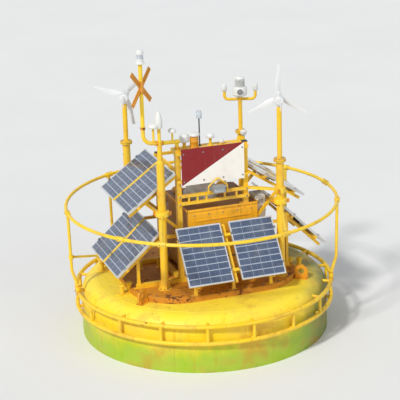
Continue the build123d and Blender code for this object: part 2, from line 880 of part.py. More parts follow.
def make_turbine_poles():
    for name, x, y, flange_height, hub_height, facing, phase in turbines:
        top = hub_height - yaw_drop
        with BuildPart() as pole:
            add_mast(x, y, plinth_top, flange_height, top, pole_radius, pole_upper_radius)
            add_cylinder((x, y, flange_height - flange_thickness / 2),
                         (x, y, flange_height + flange_thickness / 2), flange_radius)
            add_cylinder((x, y, top), (x, y, top + yaw_pin_length), yaw_pin_radius)
        save(pole.part, f"{name}_turbine_pole")


def shaft_plane(x, y, hub_height, facing, distance):
    """Plane square to a turbine's shaft, at a distance in front of its yaw axis."""
    direction = Vector(cos(radians(facing)), sin(radians(facing)), 0)
    origin = Vector(x, y, hub_height) + direction * distance
    return Plane(origin=origin, x_dir=(-sin(radians(facing)), cos(radians(facing)), 0), z_dir=direction)


def make_nacelles():
    """Rounded generator bodies on a yaw stub, with a tail vane behind."""
    for name, x, y, flange_height, hub_height, facing, phase in turbines:
        with BuildPart() as nacelle:
            back = shaft_plane(x, y, hub_height, facing, rotor_offset - running_gap - nacelle_length)
            with BuildSketch(back) as body:
                Circle(nacelle_radius)
            extrude(body.sketch, amount=nacelle_length)
            fillet(nacelle.edges().filter_by(GeomType.CIRCLE), 18)
            add_cylinder((x, y, hub_height - yaw_drop + running_gap), (x, y, hub_height), yaw_radius)
            direction = Vector(cos(radians(facing)), sin(radians(facing)), 0)
            root_offset = rotor_offset - running_gap - nacelle_length + tail_embed
            root = Vector(x, y, hub_height) + direction * root_offset
            side = Plane(origin=root, x_dir=-direction, z_dir=(direction.Y, -direction.X, 0))
            up = 1 if side.y_dir.Z > 0 else -1
            outline = [(tail_length * along, tail_height * share * up) for along, share in tail_outline]
            with BuildSketch(side) as vane:
                with BuildLine():
                    Polyline(*outline, close=True)
                make_face()
            extrude(vane.sketch, amount=tail_thickness / 2, both=True)
            with BuildSketch(Plane((x, y, hub_height - yaw_drop))) as socket:
                Circle(yaw_pin_radius + shaft_fit)
            extrude(socket.sketch, amount=yaw_pin_length + running_gap, mode=Mode.SUBTRACT)
            front = shaft_plane(x, y, hub_height, facing, rotor_offset - running_gap)
            with BuildSketch(front) as bearing:
                Circle(shaft_radius + shaft_fit)
            extrude(bearing.sketch, amount=-shaft_length, mode=Mode.SUBTRACT)
        save(nacelle.part, f"{name}_nacelle")


def add_blade(plane, angle):
    """Loft one twisted, tapered blade outwards from the hub."""
    across = plane.x_dir * cos(radians(angle)) + plane.y_dir * sin(radians(angle))
    sections = []
    for distance, chord, thickness, twist in blade_sections:
        chord_dir = across.cross(plane.z_dir)
        chord_dir = chord_dir.rotate(Axis((0, 0, 0), across), twist)
        station = Plane(origin=plane.origin + across * distance, x_dir=chord_dir, z_dir=across)
        with BuildSketch(station) as section:
            with BuildLine():
                nose = Line((-chord * 0.35, -thickness * 0.2), (-chord * 0.35, thickness * 0.2))
                trail = (chord * 0.65, thickness * 0.12)
                upper = ThreePointArc(nose @ 1, (-chord * 0.05, thickness * 0.55), trail)
                tail = Line(upper @ 1, (chord * 0.65, -thickness * 0.12))
                ThreePointArc(tail @ 1, (-chord * 0.05, -thickness * 0.45), nose @ 0)
            make_face()
        sections.append(section.sketch)
    loft(sections)


def make_rotors():
    """Hub with spinner and three blades."""
    for name, x, y, flange_height, hub_height, facing, phase in turbines:
        plane = shaft_plane(x, y, hub_height, facing, rotor_offset + hub_length / 2)
        with BuildPart() as rotor:
            for index in range(blade_count):
                add_blade(plane, phase + index * 360 / blade_count)
            with BuildSketch(plane.offset(-hub_length / 2)) as hub:
                Circle(hub_radius)
            extrude(hub.sketch, amount=hub_length)
            with BuildSketch(plane.offset(-hub_length / 2)) as shaft:
                Circle(shaft_radius)
            extrude(shaft.sketch, amount=-shaft_length)
            with BuildSketch(plane.offset(hub_length / 2)) as nose_base:
                Circle(hub_radius)
            with BuildSketch(plane.offset(hub_length / 2 + spinner_length)) as nose_tip:
                Circle(hub_radius * 0.35)
            loft([nose_base.sketch, nose_tip.sketch])
        save(rotor.part, f"{name}_rotor")


def cross_bar_ends():
    """Left and right ends of the cross bar, before its ends turn up."""
    middle = Vector(sensor_mast_x, sensor_mast_y, cross_bar_height)
    half = Vector(*on_circle(cross_bar_reach, cross_bar_angle, 0))
    return (middle - half, middle + half)


def make_sensor_mast():
    """Mast with a cross bar whose ends turn up."""
    left, right = cross_bar_ends()
    upturn = Vector(0, 0, cross_bar_upturn)
    with BuildPart() as mast:
        add_mast(sensor_mast_x, sensor_mast_y, plinth_top, sensor_mast_step, sensor_mast_top,
                 sensor_mast_radius, sensor_mast_upper_radius, sensor_mast_plate_radius)
        add_cylinder((sensor_mast_x, sensor_mast_y, sensor_mast_step - flange_thickness / 2),
                     (sensor_mast_x, sensor_mast_y, sensor_mast_step + flange_thickness / 2),
                     sensor_flange_radius)
        points = (left + upturn, left, right, right + upturn)
        add_tube(points, cross_bar_radius, bend=cross_bar_bend)
    save(mast.part, "sensor_mast")


def make_sensor_heads():
    """White instruments on the cross bar and mast head."""
    with BuildPart() as heads:
        for end in cross_bar_ends():
            tip = end + Vector(0, 0, cross_bar_upturn + seat_gap)
            add_cylinder(tip, tip + Vector(0, 0, tip_height), tip_radius)
        low = sensor_mast_top + seat_gap
        with BuildSketch(Plane.XZ.offset(-sensor_mast_y)):
            with BuildLine():
                outline = [(sensor_mast_x + radius, low + height) for height, radius in weather_head]
                middle = [(sensor_mast_x, low + weather_head[-1][0]), (sensor_mast_x, low)]
                Polyline(*outline, *middle, close=True)
            make_face()
        revolve(axis=Axis((sensor_mast_x, sensor_mast_y, 0), (0, 0, 1)))
    save(heads.part, "sensor_heads")


def make_antennas():
    """Small aerials and domes, those on the gooseneck with a saddle cut in the stem."""
    seats = {
        "shelf": shelf_top + seat_gap,
        "neck": neck_height + neck_climb + neck_radius,
        "post": neck_height + neck_radius,
    }
    with BuildPart() as aerials:
        for x, y, seat, stem_height, stem_radius, head_height, head_radius, top_radius in antennas:
            foot = seats[seat]
            shoulder = foot + stem_height
            with BuildSketch(Plane.XZ.offset(-y)):
                with BuildLine():
                    Polyline(
                        (x, foot),
                        (x + stem_radius, foot),
                        (x + stem_radius, shoulder),
                        (x + head_radius, shoulder),
                        (x + head_radius, shoulder + head_height / 2),
                        (x + top_radius, shoulder + head_height),
                        (x, shoulder + head_height),
                        close=True,
                    )
                make_face()
            revolve(axis=Axis((x, y, 0), (0, 0, 1)))
        add_tube(neck_points(), neck_radius + seat_gap, bend=(neck_low_bend, neck_bend), mode=Mode.SUBTRACT)
    save(aerials.part, "antennas")


def array_plane(side, reach, height, tilt, slot):
    """Plane on the back of one module, X along its width, Y up its slope, Z facing out."""
    rise, run = sin(radians(tilt)), cos(radians(tilt))
    gap = front_module_gap if side == "front" else side_module_gap
    shift = slot * (module_width + gap) / 2
    if side == "front":
        return Plane(origin=(front_array_x + shift, -reach, height), x_dir=(1, 0, 0), z_dir=(0, -rise, run))
    sign = -1 if side == "left" else 1
    return Plane(origin=(sign * reach, side_array_y + sign * shift, height),
                 x_dir=(0, sign, 0), z_dir=(sign * rise, 0, run))


def array_width(side):
    """Width over both modules of an array."""
    return 2 * module_width + (front_module_gap if side == "front" else side_module_gap)


def make_modules():
    """Frames and laminates of the solar modules, two to an array."""
    for side in ("front", "left", "right"):
        planes = [array_plane(facing, reach, height, tilt, slot)
                  for facing, reach, height, tilt, row in arrays if facing == side
                  for slot in (-1, 1)]
        with BuildPart() as frames:
            for plane in planes:
                with BuildSketch(plane) as outline:
                    with Locations((0, module_length / 2)):
                        Rectangle(module_width, module_length)
                        Rectangle(module_width - 2 * module_border, module_length - 2 * module_border,
                                  mode=Mode.SUBTRACT)
                extrude(outline.sketch, amount=module_thickness)
                with BuildSketch(plane.offset(module_thickness - laminate_thickness)) as rebate:
                    with Locations((0, module_length / 2)):
                        Rectangle(module_width - 2 * module_rebate, module_length - 2 * module_rebate)
                extrude(rebate.sketch, amount=laminate_thickness, mode=Mode.SUBTRACT)
        save(frames.part, f"{side}_module_frames")
        with BuildPart() as laminates:
            for plane in planes:
                with BuildSketch(plane.offset(module_thickness - laminate_thickness)) as sheet:
                    with Locations((0, module_length / 2)):
                        Rectangle(module_width - 2 * (module_rebate + seat_gap),
                                  module_length - 2 * (module_rebate + seat_gap))
                extrude(sheet.sketch, amount=laminate_thickness - 1.5)
        save(laminates.part, f"{side}_module_panels")


def rack_beam_places(side):
    """Places along an array's width where its sloped beams lie."""
    if side == "front":
        return (-front_beam_spread, 0, front_beam_spread)
    sign = -1 if side == "left" else 1
    return tuple(sign * (y - side_array_y) for y in (-tower_half_depth, tower_half_depth))


def make_rack_purlins():
    """Level bars across the back of each pair of modules."""
    with BuildPart() as purlins:
        for side, reach, height, tilt, row in arrays:
            plane = array_plane(side, reach, height, tilt, 0)
            for share in purlin_shares:
                with BuildSketch(plane) as bar:
                    with Locations((0, share * module_length)):
                        Rectangle(array_width(side), rack_bar)
                extrude(bar.sketch, amount=-rack_bar)
    save(purlins.part, "rack_purlins")


def wall_reach(side, row):
    """How far from the middle the tower or cabin stands that carries an array."""
    if side == "front":
        return -cabin_front
    if side == "left":
        return -post_face_left
    return post_face_right if row == "upper" else cabin_right


def outward(side):
    """Level direction in which an array faces."""
    return {"front": Vector(0, -1, 0), "left": Vector(-1, 0, 0), "right": Vector(1, 0, 0)}[side]


def make_rack_beams():
    """Sloped beams under the purlins; the upper ones run in to the tower's posts."""
    with BuildPart() as beams:
        for side, reach, height, tilt, row in arrays:
            plane = array_plane(side, reach, height, tilt, 0)
            length = module_length + (upper_beam_extra if row == "upper" else 0)
            with BuildPart(mode=Mode.PRIVATE) as pair:
                with BuildSketch(plane.offset(-rack_bar)) as bar:
                    with Locations(*((x, length / 2) for x in rack_beam_places(side))):
                        Rectangle(rack_bar, length)
                extrude(bar.sketch, amount=-rack_bar)
                if row == "upper":
                    facing = outward(side)
                    wall = Plane(origin=facing * (wall_reach(side, row) + seat_gap), z_dir=facing)
                    split(bisect_by=wall, keep=Keep.TOP)
            add(pair.part)
    save(beams.part, "rack_beams")


def make_rack_legs():
    """Upright legs, level ties and slanting braces that end against the sloped beams."""
    with BuildPart() as legs:
        for side, reach, height, tilt, row in arrays:
            plane = array_plane(side, reach, height, tilt, 0)
            under = plane.offset(-2 * rack_bar - seat_gap)
            facing = outward(side)
            wall = wall_reach(side, "lower") + seat_gap
            tie_height = front_tie_height if side == "front" else side_tie_height
            leg_reach = front_leg_reach if side == "front" else side_leg_reach
            with BuildPart(mode=Mode.PRIVATE) as group:
                for place in rack_beam_places(side):
                    line = plane.origin + plane.x_dir * place
                    line = line - facing * line.dot(facing)
                    line = Vector(line.X, line.Y, 0)
                    up = Vector(0, 0, 1)
                    if row == "lower":
                        foot = plinth_top if side == "front" else cabin_floor
                        low = line + facing * leg_reach + up * foot
                        add_bar(low, low + up * leg_height, rack_bar, rack_bar, across=(1, 0, 0))
                        near = line + facing * wall + up * tie_height
                        add_bar(near, near + facing * tie_length, rack_bar, rack_bar)
                    else:
                        near = line + facing * (wall - rack_bar) + up * (brace_foot_height - rack_bar)
                        far = line + facing * brace_reach + up * (height + brace_climb)
                        add_bar(near, far, rack_bar, rack_bar)
                split(bisect_by=under, keep=Keep.BOTTOM)
                if row == "upper":
                    split(bisect_by=Plane(origin=facing * wall, z_dir=facing), keep=Keep.TOP)
            add(group.part)
    save(legs.part, "rack_legs")


def build_all():
    os.makedirs("parts", exist_ok=True)
    make_hull()
    make_deck_plinth()
    make_fender_rails()
    make_guard_ring()
    make_ring_couplings()
    make_ring_posts()
    make_ring_struts()
    make_lifting_eyes()
    make_keel_frame()
    make_keel_ballast()
    make_mooring_eye()
    make_deck_beams()
    make_tower_posts()
    make_tower_rails()
    make_rail_lamp()
    make_pole_tie()
    make_top_shelf()
    make_cabin()
    make_door_hinges()
    make_cabin_doors()
    make_battery_block()
    make_side_locker()
    make_lidar_unit()
    make_sign_board()
    make_front_mast()
    make_gooseneck()
    make_lantern()
    make_topmark()
    make_turbine_poles()
    make_nacelles()
    make_rotors()
    make_sensor_mast()
    make_sensor_heads()
    make_antennas()
    make_modules()
    make_rack_purlins()
    make_rack_beams()
    make_rack_legs()


build_all()
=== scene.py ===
# Dresses the floating lidar buoy: a finish for every solid, and the small fittings.
# Places, blocks and tubes are in metres in the frame of the solids, with the floor at the waterline.
# Profiles, outlines, bands, plates and bolts are in millimetres. Angles are in degrees.
import bpy
from math import cos, pi, radians, sin
from mathutils import Matrix, Vector


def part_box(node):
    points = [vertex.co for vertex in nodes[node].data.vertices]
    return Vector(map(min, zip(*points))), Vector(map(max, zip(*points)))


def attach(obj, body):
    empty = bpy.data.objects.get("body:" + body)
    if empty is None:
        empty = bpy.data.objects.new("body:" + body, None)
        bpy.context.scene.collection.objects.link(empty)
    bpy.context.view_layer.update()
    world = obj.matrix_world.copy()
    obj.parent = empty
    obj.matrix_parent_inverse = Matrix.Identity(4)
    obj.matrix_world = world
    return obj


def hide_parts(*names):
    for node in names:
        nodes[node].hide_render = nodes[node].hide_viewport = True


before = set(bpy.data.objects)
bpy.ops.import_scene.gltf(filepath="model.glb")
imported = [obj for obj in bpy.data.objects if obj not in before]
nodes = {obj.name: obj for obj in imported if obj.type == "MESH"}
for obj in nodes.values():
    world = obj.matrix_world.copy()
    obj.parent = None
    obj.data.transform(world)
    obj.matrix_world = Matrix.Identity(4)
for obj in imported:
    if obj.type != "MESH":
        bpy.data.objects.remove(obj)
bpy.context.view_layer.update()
UP, DOWN = Vector((0, 0, 1)), Vector((0, 0, -1))


def tint(red, green, blue):
    """A screen colour, 0 to 255, as the linear colour that a shader takes."""
    def straighten(value):
        value /= 255
        return value / 12.92 if value <= 0.04045 else ((value + 0.055) / 1.055) ** 2.4
    return (straighten(red), straighten(green), straighten(blue), 1.0)


class Net:
    """A node tree with short ways to add nodes; a value is a number, a colour or another node's socket."""

    def __init__(self, tree):
        self.tree = tree

    def link(self, node, values):
        """Set a node's inputs, each by its label or number."""
        for label, value in values.items():
            if isinstance(value, bpy.types.NodeSocket):
                self.tree.links.new(value, node.inputs[label])
            else:
                node.inputs[label].default_value = value

    def add(self, kind, values=None, **settings):
        """Add a node with its settings and inputs; gives its outputs."""
        node = self.tree.nodes.new(f"ShaderNode{kind}")
        for key, value in settings.items():
            setattr(node, key, value)
        self.link(node, values or {})
        return node.outputs

    def math(self, operation, first, second=0.0, clamp=False):
        return self.add("Math", {0: first, 1: second}, operation=operation, use_clamp=clamp)[0]

    def times(self, first, second, clamp=False):
        return self.math("MULTIPLY", first, second, clamp)

    def plus(self, first, second, clamp=False):
        return self.math("ADD", first, second, clamp)

    def minus(self, first, second):
        return self.math("SUBTRACT", first, second)

    def off_middle(self, value, count):
        """Distance from the middle of the cell, with a number of cells from 0 to 1."""
        return self.math("ABSOLUTE", self.minus(self.math("FRACT", self.times(value, count)), 0.5))

    def ramp(self, value, low, high):
        """0 below low, 1 above high, smooth between; low may be the greater."""
        return self.add("MapRange", {"Value": value, "From Min": low, "From Max": high},
                        interpolation_type="SMOOTHSTEP", clamp=True)["Result"]

    def mix(self, share, first, second):
        return self.add("Mix", {0: share, 6: first, 7: second}, data_type="RGBA", clamp_result=True)[2]

    def noise(self, place, scale, detail, roughness=0.5, distortion=0.0):
        return self.add("TexNoise", {"Vector": place, "Scale": scale, "Detail": detail,
                                     "Roughness": roughness, "Distortion": distortion})["Fac"]

    def split(self, place):
        return self.add("SeparateXYZ", {"Vector": place})

    def group(self, group, **values):
        return self.add("Group", values, node_tree=group)

    def bump(self, shader, height, strength, distance):
        bumped = self.add("Bump", {"Height": height, "Strength": strength, "Distance": distance})
        self.link(shader, {"Normal": bumped["Normal"]})


# Node groups that several finishes share.

def new_group(name, outputs, **inputs):
    """A shader node group; an input's value tells its kind, None for a place.

    Gives its net, its inputs and its end.
    """
    tree = bpy.data.node_groups.new(name, "ShaderNodeTree")
    for label, value in inputs.items():
        kind = {float: "Float", tuple: "Color"}.get(type(value), "Vector")
        socket = tree.interface.new_socket(label, in_out="INPUT", socket_type=f"NodeSocket{kind}")
        if value is not None:
            socket.default_value = value
    for label in outputs:
        kind = "Color" if label == "Colour" else "Float"
        tree.interface.new_socket(label, in_out="OUTPUT", socket_type=f"NodeSocket{kind}")
    return Net(tree), tree.nodes.new("NodeGroupInput").outputs, tree.nodes.new("NodeGroupOutput")


# Clouded colour change and vertical runs, as weather leaves on paint.
net, given, end = new_group(
    "Weather blotches", ("Colour",), Place=None, Colour=(0.8, 0.6, 0.05, 1), Stain=(0.3, 0.15, 0.03, 1),
    Scale=3.0, Blotches=0.4, Runs=0.3, Fade=0.1)
cloud = net.noise(given["Place"], given["Scale"], 6.0, 0.62, 0.4)
squeezed = net.add("Mapping", {"Vector": given["Place"], "Scale": (1.0, 1.0, 0.12)})[0]
runs = net.noise(squeezed, net.times(given["Scale"], 6.0), 3.0, 0.6)
cloudy = net.times(net.ramp(cloud, 0.46, 0.74), given["Blotches"])
streaky = net.times(net.ramp(runs, 0.55, 0.78), given["Runs"])
stained = net.math("MAXIMUM", cloudy, streaky, clamp=True)
fade = net.times(net.ramp(cloud, 0.3, 0.62), given["Fade"])
bright = net.mix(fade, given["Colour"], (1, 0.92, 0.42, 1))
net.link(end, {"Colour": net.mix(stained, bright, given["Stain"])})
blotches = net.tree

# Rust spots with a dark rim where the paint has lifted.
net, given, end = new_group(
    "Paint chips", ("Colour", "Bare"), Place=None, Colour=(0.8, 0.6, 0.05, 1), Rust=(0.16, 0.05, 0.015, 1),
    Scale=14.0, Amount=0.3)
wander = net.noise(given["Place"], given["Scale"], 8.0, 0.7)
region = net.noise(given["Place"], 1.7, 2.0)
limit = net.minus(0.82, net.times(given["Amount"], 0.28))
weighed = net.plus(net.times(wander, 0.72), net.times(region, 0.36))
bare = net.ramp(weighed, limit, net.plus(limit, 0.03))
halo = net.ramp(weighed, net.minus(limit, 0.06), net.plus(limit, 0.02))
warm = net.mix(net.times(halo, 0.45), given["Colour"], (0.62, 0.24, 0.03, 1))
net.link(end, {"Colour": net.mix(bare, warm, given["Rust"]), "Bare": bare})
chips = net.tree

# Height and roughness of a sprayed or moulded skin.
net, given, end = new_group(
    "Surface skin", ("Roughness", "Height"), Place=None, Grain=90.0, Smooth=0.4, Change=0.15)
change = net.times(net.minus(net.noise(given["Place"], 5.0, 4.0), 0.5), given["Change"])
net.link(end, {"Roughness": net.plus(given["Smooth"], net.times(change, 2.0), clamp=True),
               "Height": net.noise(given["Place"], given["Grain"], 3.0)})
skin = net.tree

# Colour of worn corners: where a rounded normal leaves the true one, broken up by noise.
net, given, end = new_group(
    "Edge wear", ("Colour",), Place=None, Colour=(0.8, 0.6, 0.05, 1), Worn=(0.3, 0.12, 0.03, 1), Width=0.005,
    Amount=0.6)
soft = net.add("Bevel", {"Radius": given["Width"]}, samples=4)["Normal"]
hard = net.add("NewGeometry")["Normal"]
likeness = net.add("VectorMath", {0: soft, 1: hard}, operation="DOT_PRODUCT")["Value"]
patchy = net.ramp(net.noise(given["Place"], 26.0, 5.0, 0.65), 0.42, 0.6)
worn = net.times(net.times(net.ramp(likeness, 0.985, 0.86), patchy), given["Amount"], clamp=True)
net.link(end, {"Colour": net.mix(worn, given["Colour"], given["Worn"])})
edges = net.tree


def new_material(name):
    """A material with only its shader and output; gives it, its net, its shader and the object place."""
    material = bpy.data.materials.new(name)
    material.use_nodes = True
    net = Net(material.node_tree)
    return material, net, net.tree.nodes["Principled BSDF"], net.add("TexCoord")["Object"]


def paint(name, colour, stain, scale, blotch, run, rust, smooth, fade, wear=0.0, bump=0.25, metal=0.0,
          coat=0.0):
    """Weathered paint or plastic; its colour is a screen colour or a function that adds nodes for it."""
    material, net, shader, place = new_material(name)
    stain = tint(*stain)
    base = colour(net, place) if callable(colour) else tint(*colour)
    weather = net.group(blotches, Place=place, Colour=base, Stain=stain, Scale=scale, Blotches=blotch,
                        Runs=run, Fade=fade)
    chipped = net.group(chips, Place=place, Colour=weather["Colour"], Amount=rust)
    surface = net.group(skin, Place=place, Smooth=smooth)
    shown = chipped["Colour"]
    if wear:
        shown = net.group(edges, Place=place, Colour=shown, Worn=stain, Amount=wear)["Colour"]
    rough = net.plus(surface["Roughness"], net.times(chipped["Bare"], 0.35), clamp=True)
    net.link(shader, {"Base Color": shown, "Roughness": rough, "Metallic": metal, "Coat Weight": coat})
    net.bump(shader, net.minus(net.times(surface["Height"], 0.3), chipped["Bare"]), bump, 0.0015)
    return material


def hull_colour(net, place):
    """Yellow above and weed green towards the water, with painted shade on the right side, which is greener
    and darker.
    """
    spot = net.split(place)
    wander = net.times(net.minus(net.noise(place, 2.6, 7.0, 0.65), 0.5), 0.55)
    # Painted shade: the weed line rises towards +X, so the side away from the key lamp turns greener.
    side = net.times(net.ramp(spot["X"], 0.5, 1.75), 0.34)
    level = net.minus(net.plus(spot["Z"], wander), side)
    weed, slime = net.ramp(level, 0.56, 0.16), net.ramp(level, 0.06, -0.16)
    shown = net.mix(net.ramp(spot["Z"], 0.78, 0.6), tint(255, 228, 52), tint(248, 214, 14))
    shown = net.mix(weed, shown, tint(158, 190, 18))
    # Painted shade: a darker green over the weed on the right side.
    shown = net.mix(net.times(net.ramp(spot["X"], 0.6, 1.75), weed), shown, tint(84, 116, 40))
    # Painted shade: an olive darkening over the right side below the shoulder.
    right_painted_shade = net.times(net.ramp(spot["X"], 0.8, 1.62), net.ramp(level, 0.95, 0.35))
    shown = net.mix(net.times(right_painted_shade, 0.9), shown, tint(84, 96, 26))
    return net.mix(net.times(slime, 0.75), shown, tint(92, 122, 34))


def sign_colour(net, place):
    """Crimson above the diagonal from the low left corner, white below it."""
    low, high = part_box("sign_board")
    spot = net.split(place)
    slope = (high.z - low.z) / (high.x - low.x)
    line = net.plus(net.times(spot["X"], slope), low.z - slope * low.x)
    over = net.ramp(net.minus(spot["Z"], line), -0.002, 0.002)
    return net.mix(over, tint(248, 246, 240), tint(138, 13, 23))


def cabin_colour(net, place):
    """Golden walls, with painted shade on the roof and on the left side, which turn brown."""
    spot = net.split(place)
    # Painted shade: the roof darkened brown, where the space behind the rail lies in shade.
    roof = net.times(net.ramp(spot["Z"], 1.93, 1.936), 0.9)
    # Painted shade: the left wall darkened brown, in the shade of the left modules.
    side = net.times(net.ramp(spot["X"], -0.374, -0.379), 0.7)
    return net.mix(net.math("MAXIMUM", roof, side), tint(252, 186, 22), tint(118, 66, 26))


def make_cells():
    """Rows of solar cells on a module's own map, under glass."""
    material, net, shader, place = new_material("solar_cells")
    spot = net.split(net.add("UVMap")["UV"])
    lines = [net.ramp(net.off_middle(spot[axis], count), 0.5 - gap, 0.5 - gap * 0.8)
             for axis, count, gap in (("X", 4.0, 0.014), ("Y", 9.0, 0.075))]
    wires = net.times(net.ramp(net.off_middle(spot["X"], 12.0), 0.035, 0.015), 0.4)
    cell = net.mix(net.noise(place, 7.0, 5.0), tint(44, 60, 92), tint(78, 96, 126))
    wired = net.mix(wires, cell, tint(132, 144, 160))
    lined = net.mix(net.math("MAXIMUM", *lines), wired, tint(168, 180, 198))
    salt = net.group(blotches, Place=place, Colour=lined, Stain=tint(170, 176, 176), Scale=4.0, Blotches=0.22,
                     Runs=0.1, Fade=0.0)
    surface = net.group(skin, Place=place, Grain=30.0, Smooth=0.16, Change=0.12)
    net.link(shader, {"Base Color": salt["Colour"], "Roughness": surface["Roughness"], "Coat Weight": 0.5,
                      "Coat Roughness": 0.08})
    return material


def make_lens(name, colour, smooth):
    """Tinted lens that light passes."""
    material, net, shader, place = new_material(name)
    ripple = net.add("TexWave", {"Vector": place, "Scale": 22.0, "Distortion": 0.4},
                     bands_direction="Z")["Fac"]
    net.link(shader, {"Base Color": net.mix(ripple, tint(*colour), tint(240, 244, 248)), "Roughness": smooth,
                      "Transmission Weight": 0.35})
    net.bump(shader, ripple, 0.4, 0.002)
    return material


# Columns: look, material, colour, stain, scale, blotches, runs, rust, roughness, fade, wear, and where
# they differ from the usual, bump, metal and coat.
paints = (
    ("hull", "hull_paint", hull_colour, (196, 124, 16), 2.0, 0.55, 0.45, 0.42, 0.5, 0.1, 0.0, 0.35),
    ("deck", "deck_paint", (206, 136, 26), (98, 50, 16), 2.4, 0.85, 0.3, 0.75, 0.65, 0.02, 0.7, 0.5),
    ("fender", "fender_paint", (248, 206, 14), (160, 90, 14), 3.0, 0.45, 0.5, 0.6, 0.5, 0.1, 0.7),
    ("rail", "rail_paint", (250, 210, 34), (170, 104, 22), 4.0, 0.4, 0.35, 0.45, 0.46, 0.1, 0.7),
    ("fitting", "fitting_paint", (228, 156, 22), (122, 66, 20), 5.0, 0.5, 0.3, 0.7, 0.55, 0.03, 0.7),
    ("frame", "frame_paint", (248, 198, 14), (174, 96, 18), 3.2, 0.42, 0.45, 0.5, 0.5, 0.1, 0.7),
    ("keel", "keel_paint", (120, 58, 44), (66, 74, 36), 3.0, 0.7, 0.4, 0.5, 0.7, 0.02),
    ("iron", "ballast_iron", (92, 74, 64), (110, 52, 22), 6.0, 0.8, 0.3, 0.9, 0.75, 0.0),
    ("cabin", "cabin_paint", (252, 186, 22), (150, 78, 16), 2.2, 0.5, 0.5, 0.5, 0.55, 0.04, 0.7),
    ("shell", "cabin_shell", cabin_colour, (150, 78, 16), 2.2, 0.5, 0.5, 0.5, 0.55, 0.04, 0.7),
    ("steel", "hinge_steel", (150, 152, 152), (110, 52, 22), 9.0, 0.3, 0.2, 0.4, 0.35, 0.0, 0.0, 0.25, 0.9),
    ("battery", "battery_plastic", (52, 52, 56), (80, 78, 74), 8.0, 0.3, 0.0, 0.0, 0.55, 0.0),
    ("lidar", "lidar_shell", (214, 216, 214), (160, 152, 132), 5.0, 0.3, 0.3, 0.08, 0.4, 0.0),
    ("sign", "sign_paint", sign_colour, (150, 116, 96), 3.0, 0.12, 0.2, 0.08, 0.52, 0.0),
    ("white", "white_plastic", (229, 231, 230), (182, 176, 160), 9.0, 0.2, 0.22, 0.04, 0.38, 0.0, 0.0, 0.25,
     0.0, 0.1),
    ("blade", "blade_gelcoat", (228, 230, 232), (168, 170, 170), 6.0, 0.2, 0.12, 0.03, 0.36, 0.0, 0.0, 0.25,
     0.0, 0.15),
    ("topmark", "topmark_paint", (226, 152, 44), (128, 74, 28), 6.0, 0.45, 0.3, 0.45, 0.5, 0.03, 0.7),
    ("alloy", "module_alloy", (214, 216, 218), (160, 150, 128), 6.0, 0.3, 0.3, 0.05, 0.34, 0.0, 0.0, 0.25,
     0.55),
    ("canister", "canister_paint", (226, 156, 30), (160, 92, 26), 7.0, 0.35, 0.2, 0.2, 0.45, 0.04),
    ("rubber", "cable_rubber", (48, 46, 46), (84, 80, 74), 12.0, 0.3, 0.1, 0.0, 0.6, 0.0),
    ("grey", "grey_plastic", (146, 150, 152), (110, 104, 92), 8.0, 0.3, 0.3, 0.06, 0.45, 0.0),
)
finishes = {look: paint(*values) for look, *values in paints}
finishes["cells"] = make_cells()
finishes["lens"] = make_lens("lantern_lens", (196, 212, 224), 0.12)
finishes["window"] = make_lens("lidar_window", (30, 34, 40), 0.06)

dressed_nodes = {
    "hull": "hull", "deck": "deck_plinth", "fender": "fender_rails", "fitting": "lifting_eyes",
    "keel": "keel_frame", "iron": "keel_ballast mooring_eye", "grey": "rail_lamp",
    "white": "side_locker lantern sensor_heads antennas",
    "rail": "guard_ring ring_couplings ring_posts ring_struts pole_tie gooseneck", "shell": "cabin",
    "frame": "deck_beams tower_posts tower_rails top_shelf front_mast right_turbine_pole left_turbine_pole "
             "sensor_mast rack_purlins rack_beams rack_legs",
    "cabin": "cabin_door_left cabin_door_right", "steel": "door_hinges", "battery": "battery_block",
    "lidar": "lidar_unit", "sign": "sign_board", "topmark": "topmark",
    "blade": "right_nacelle left_nacelle right_rotor left_rotor",
    "alloy": "front_module_frames left_module_frames right_module_frames",
    "cells": "front_module_panels left_module_panels right_module_panels",
}
for look, names in dressed_nodes.items():
    for name in names.split():
        nodes[name].data.materials.clear()
        nodes[name].data.materials.append(finishes[look])


# Places.

def at(x=0.0, y=0.0, z=0.0, turn=0.0, size=1.0):
    """A place turned about Z."""
    return Matrix.Translation((x, y, z)) @ Matrix.Rotation(radians(turn), 4, "Z") @ Matrix.Scale(size, 4)


def facing(place, direction, turn=0.0):
    """A place whose own Z points in a direction."""
    heading = Vector(direction).to_track_quat("Z", "Y").to_matrix().to_4x4()
    return Matrix.Translation(Vector(place)) @ heading @ at(turn=turn)


def axes_at(origin, x_axis, y_axis, z_axis):
    """A place with its own three axes."""
    place = Matrix((x_axis, y_axis, z_axis)).transposed().to_4x4()
    place.translation = origin
    return place


def on_circle(radius, angle, height=0.0):
    return Vector((radius * cos(radians(angle)), radius * sin(radians(angle)), height))


# Ways of modelling that several fittings share.

def mode(name):
    bpy.ops.object.mode_set(mode=name)


def select(what=None, action="SELECT"):
    """Select or deselect all, as vertices or faces where a kind is named."""
    if what:
        bpy.ops.mesh.select_mode(type=what)
    bpy.ops.mesh.select_all(action=action)


def deselect():
    """Leave nothing selected, in object mode."""
    if bpy.context.object and bpy.context.object.mode != "OBJECT":
        mode("OBJECT")
    bpy.ops.object.select_all(action="DESELECT")


def hold(piece):
    """Select only this piece."""
    deselect()
    piece.select_set(True)
    bpy.context.view_layer.objects.active = piece


def name_piece(name="pattern"):
    """Name the active object and put its place into its mesh."""
    piece = bpy.context.object
    hold(piece)
    bpy.ops.object.transform_apply(location=True, rotation=True, scale=True)
    piece.name = piece.data.name = name
    deselect()
    return piece


def pick(test):
    """Select the faces of the object in edit mode whose normal passes a test."""
    select("FACE", "DESELECT")
    mode("OBJECT")
    for face in bpy.context.object.data.polygons:
        face.select = test(face.normal)
    mode("EDIT")


def extrude(step):
    bpy.ops.mesh.extrude_region_move(TRANSFORM_OT_translate={"value": step})


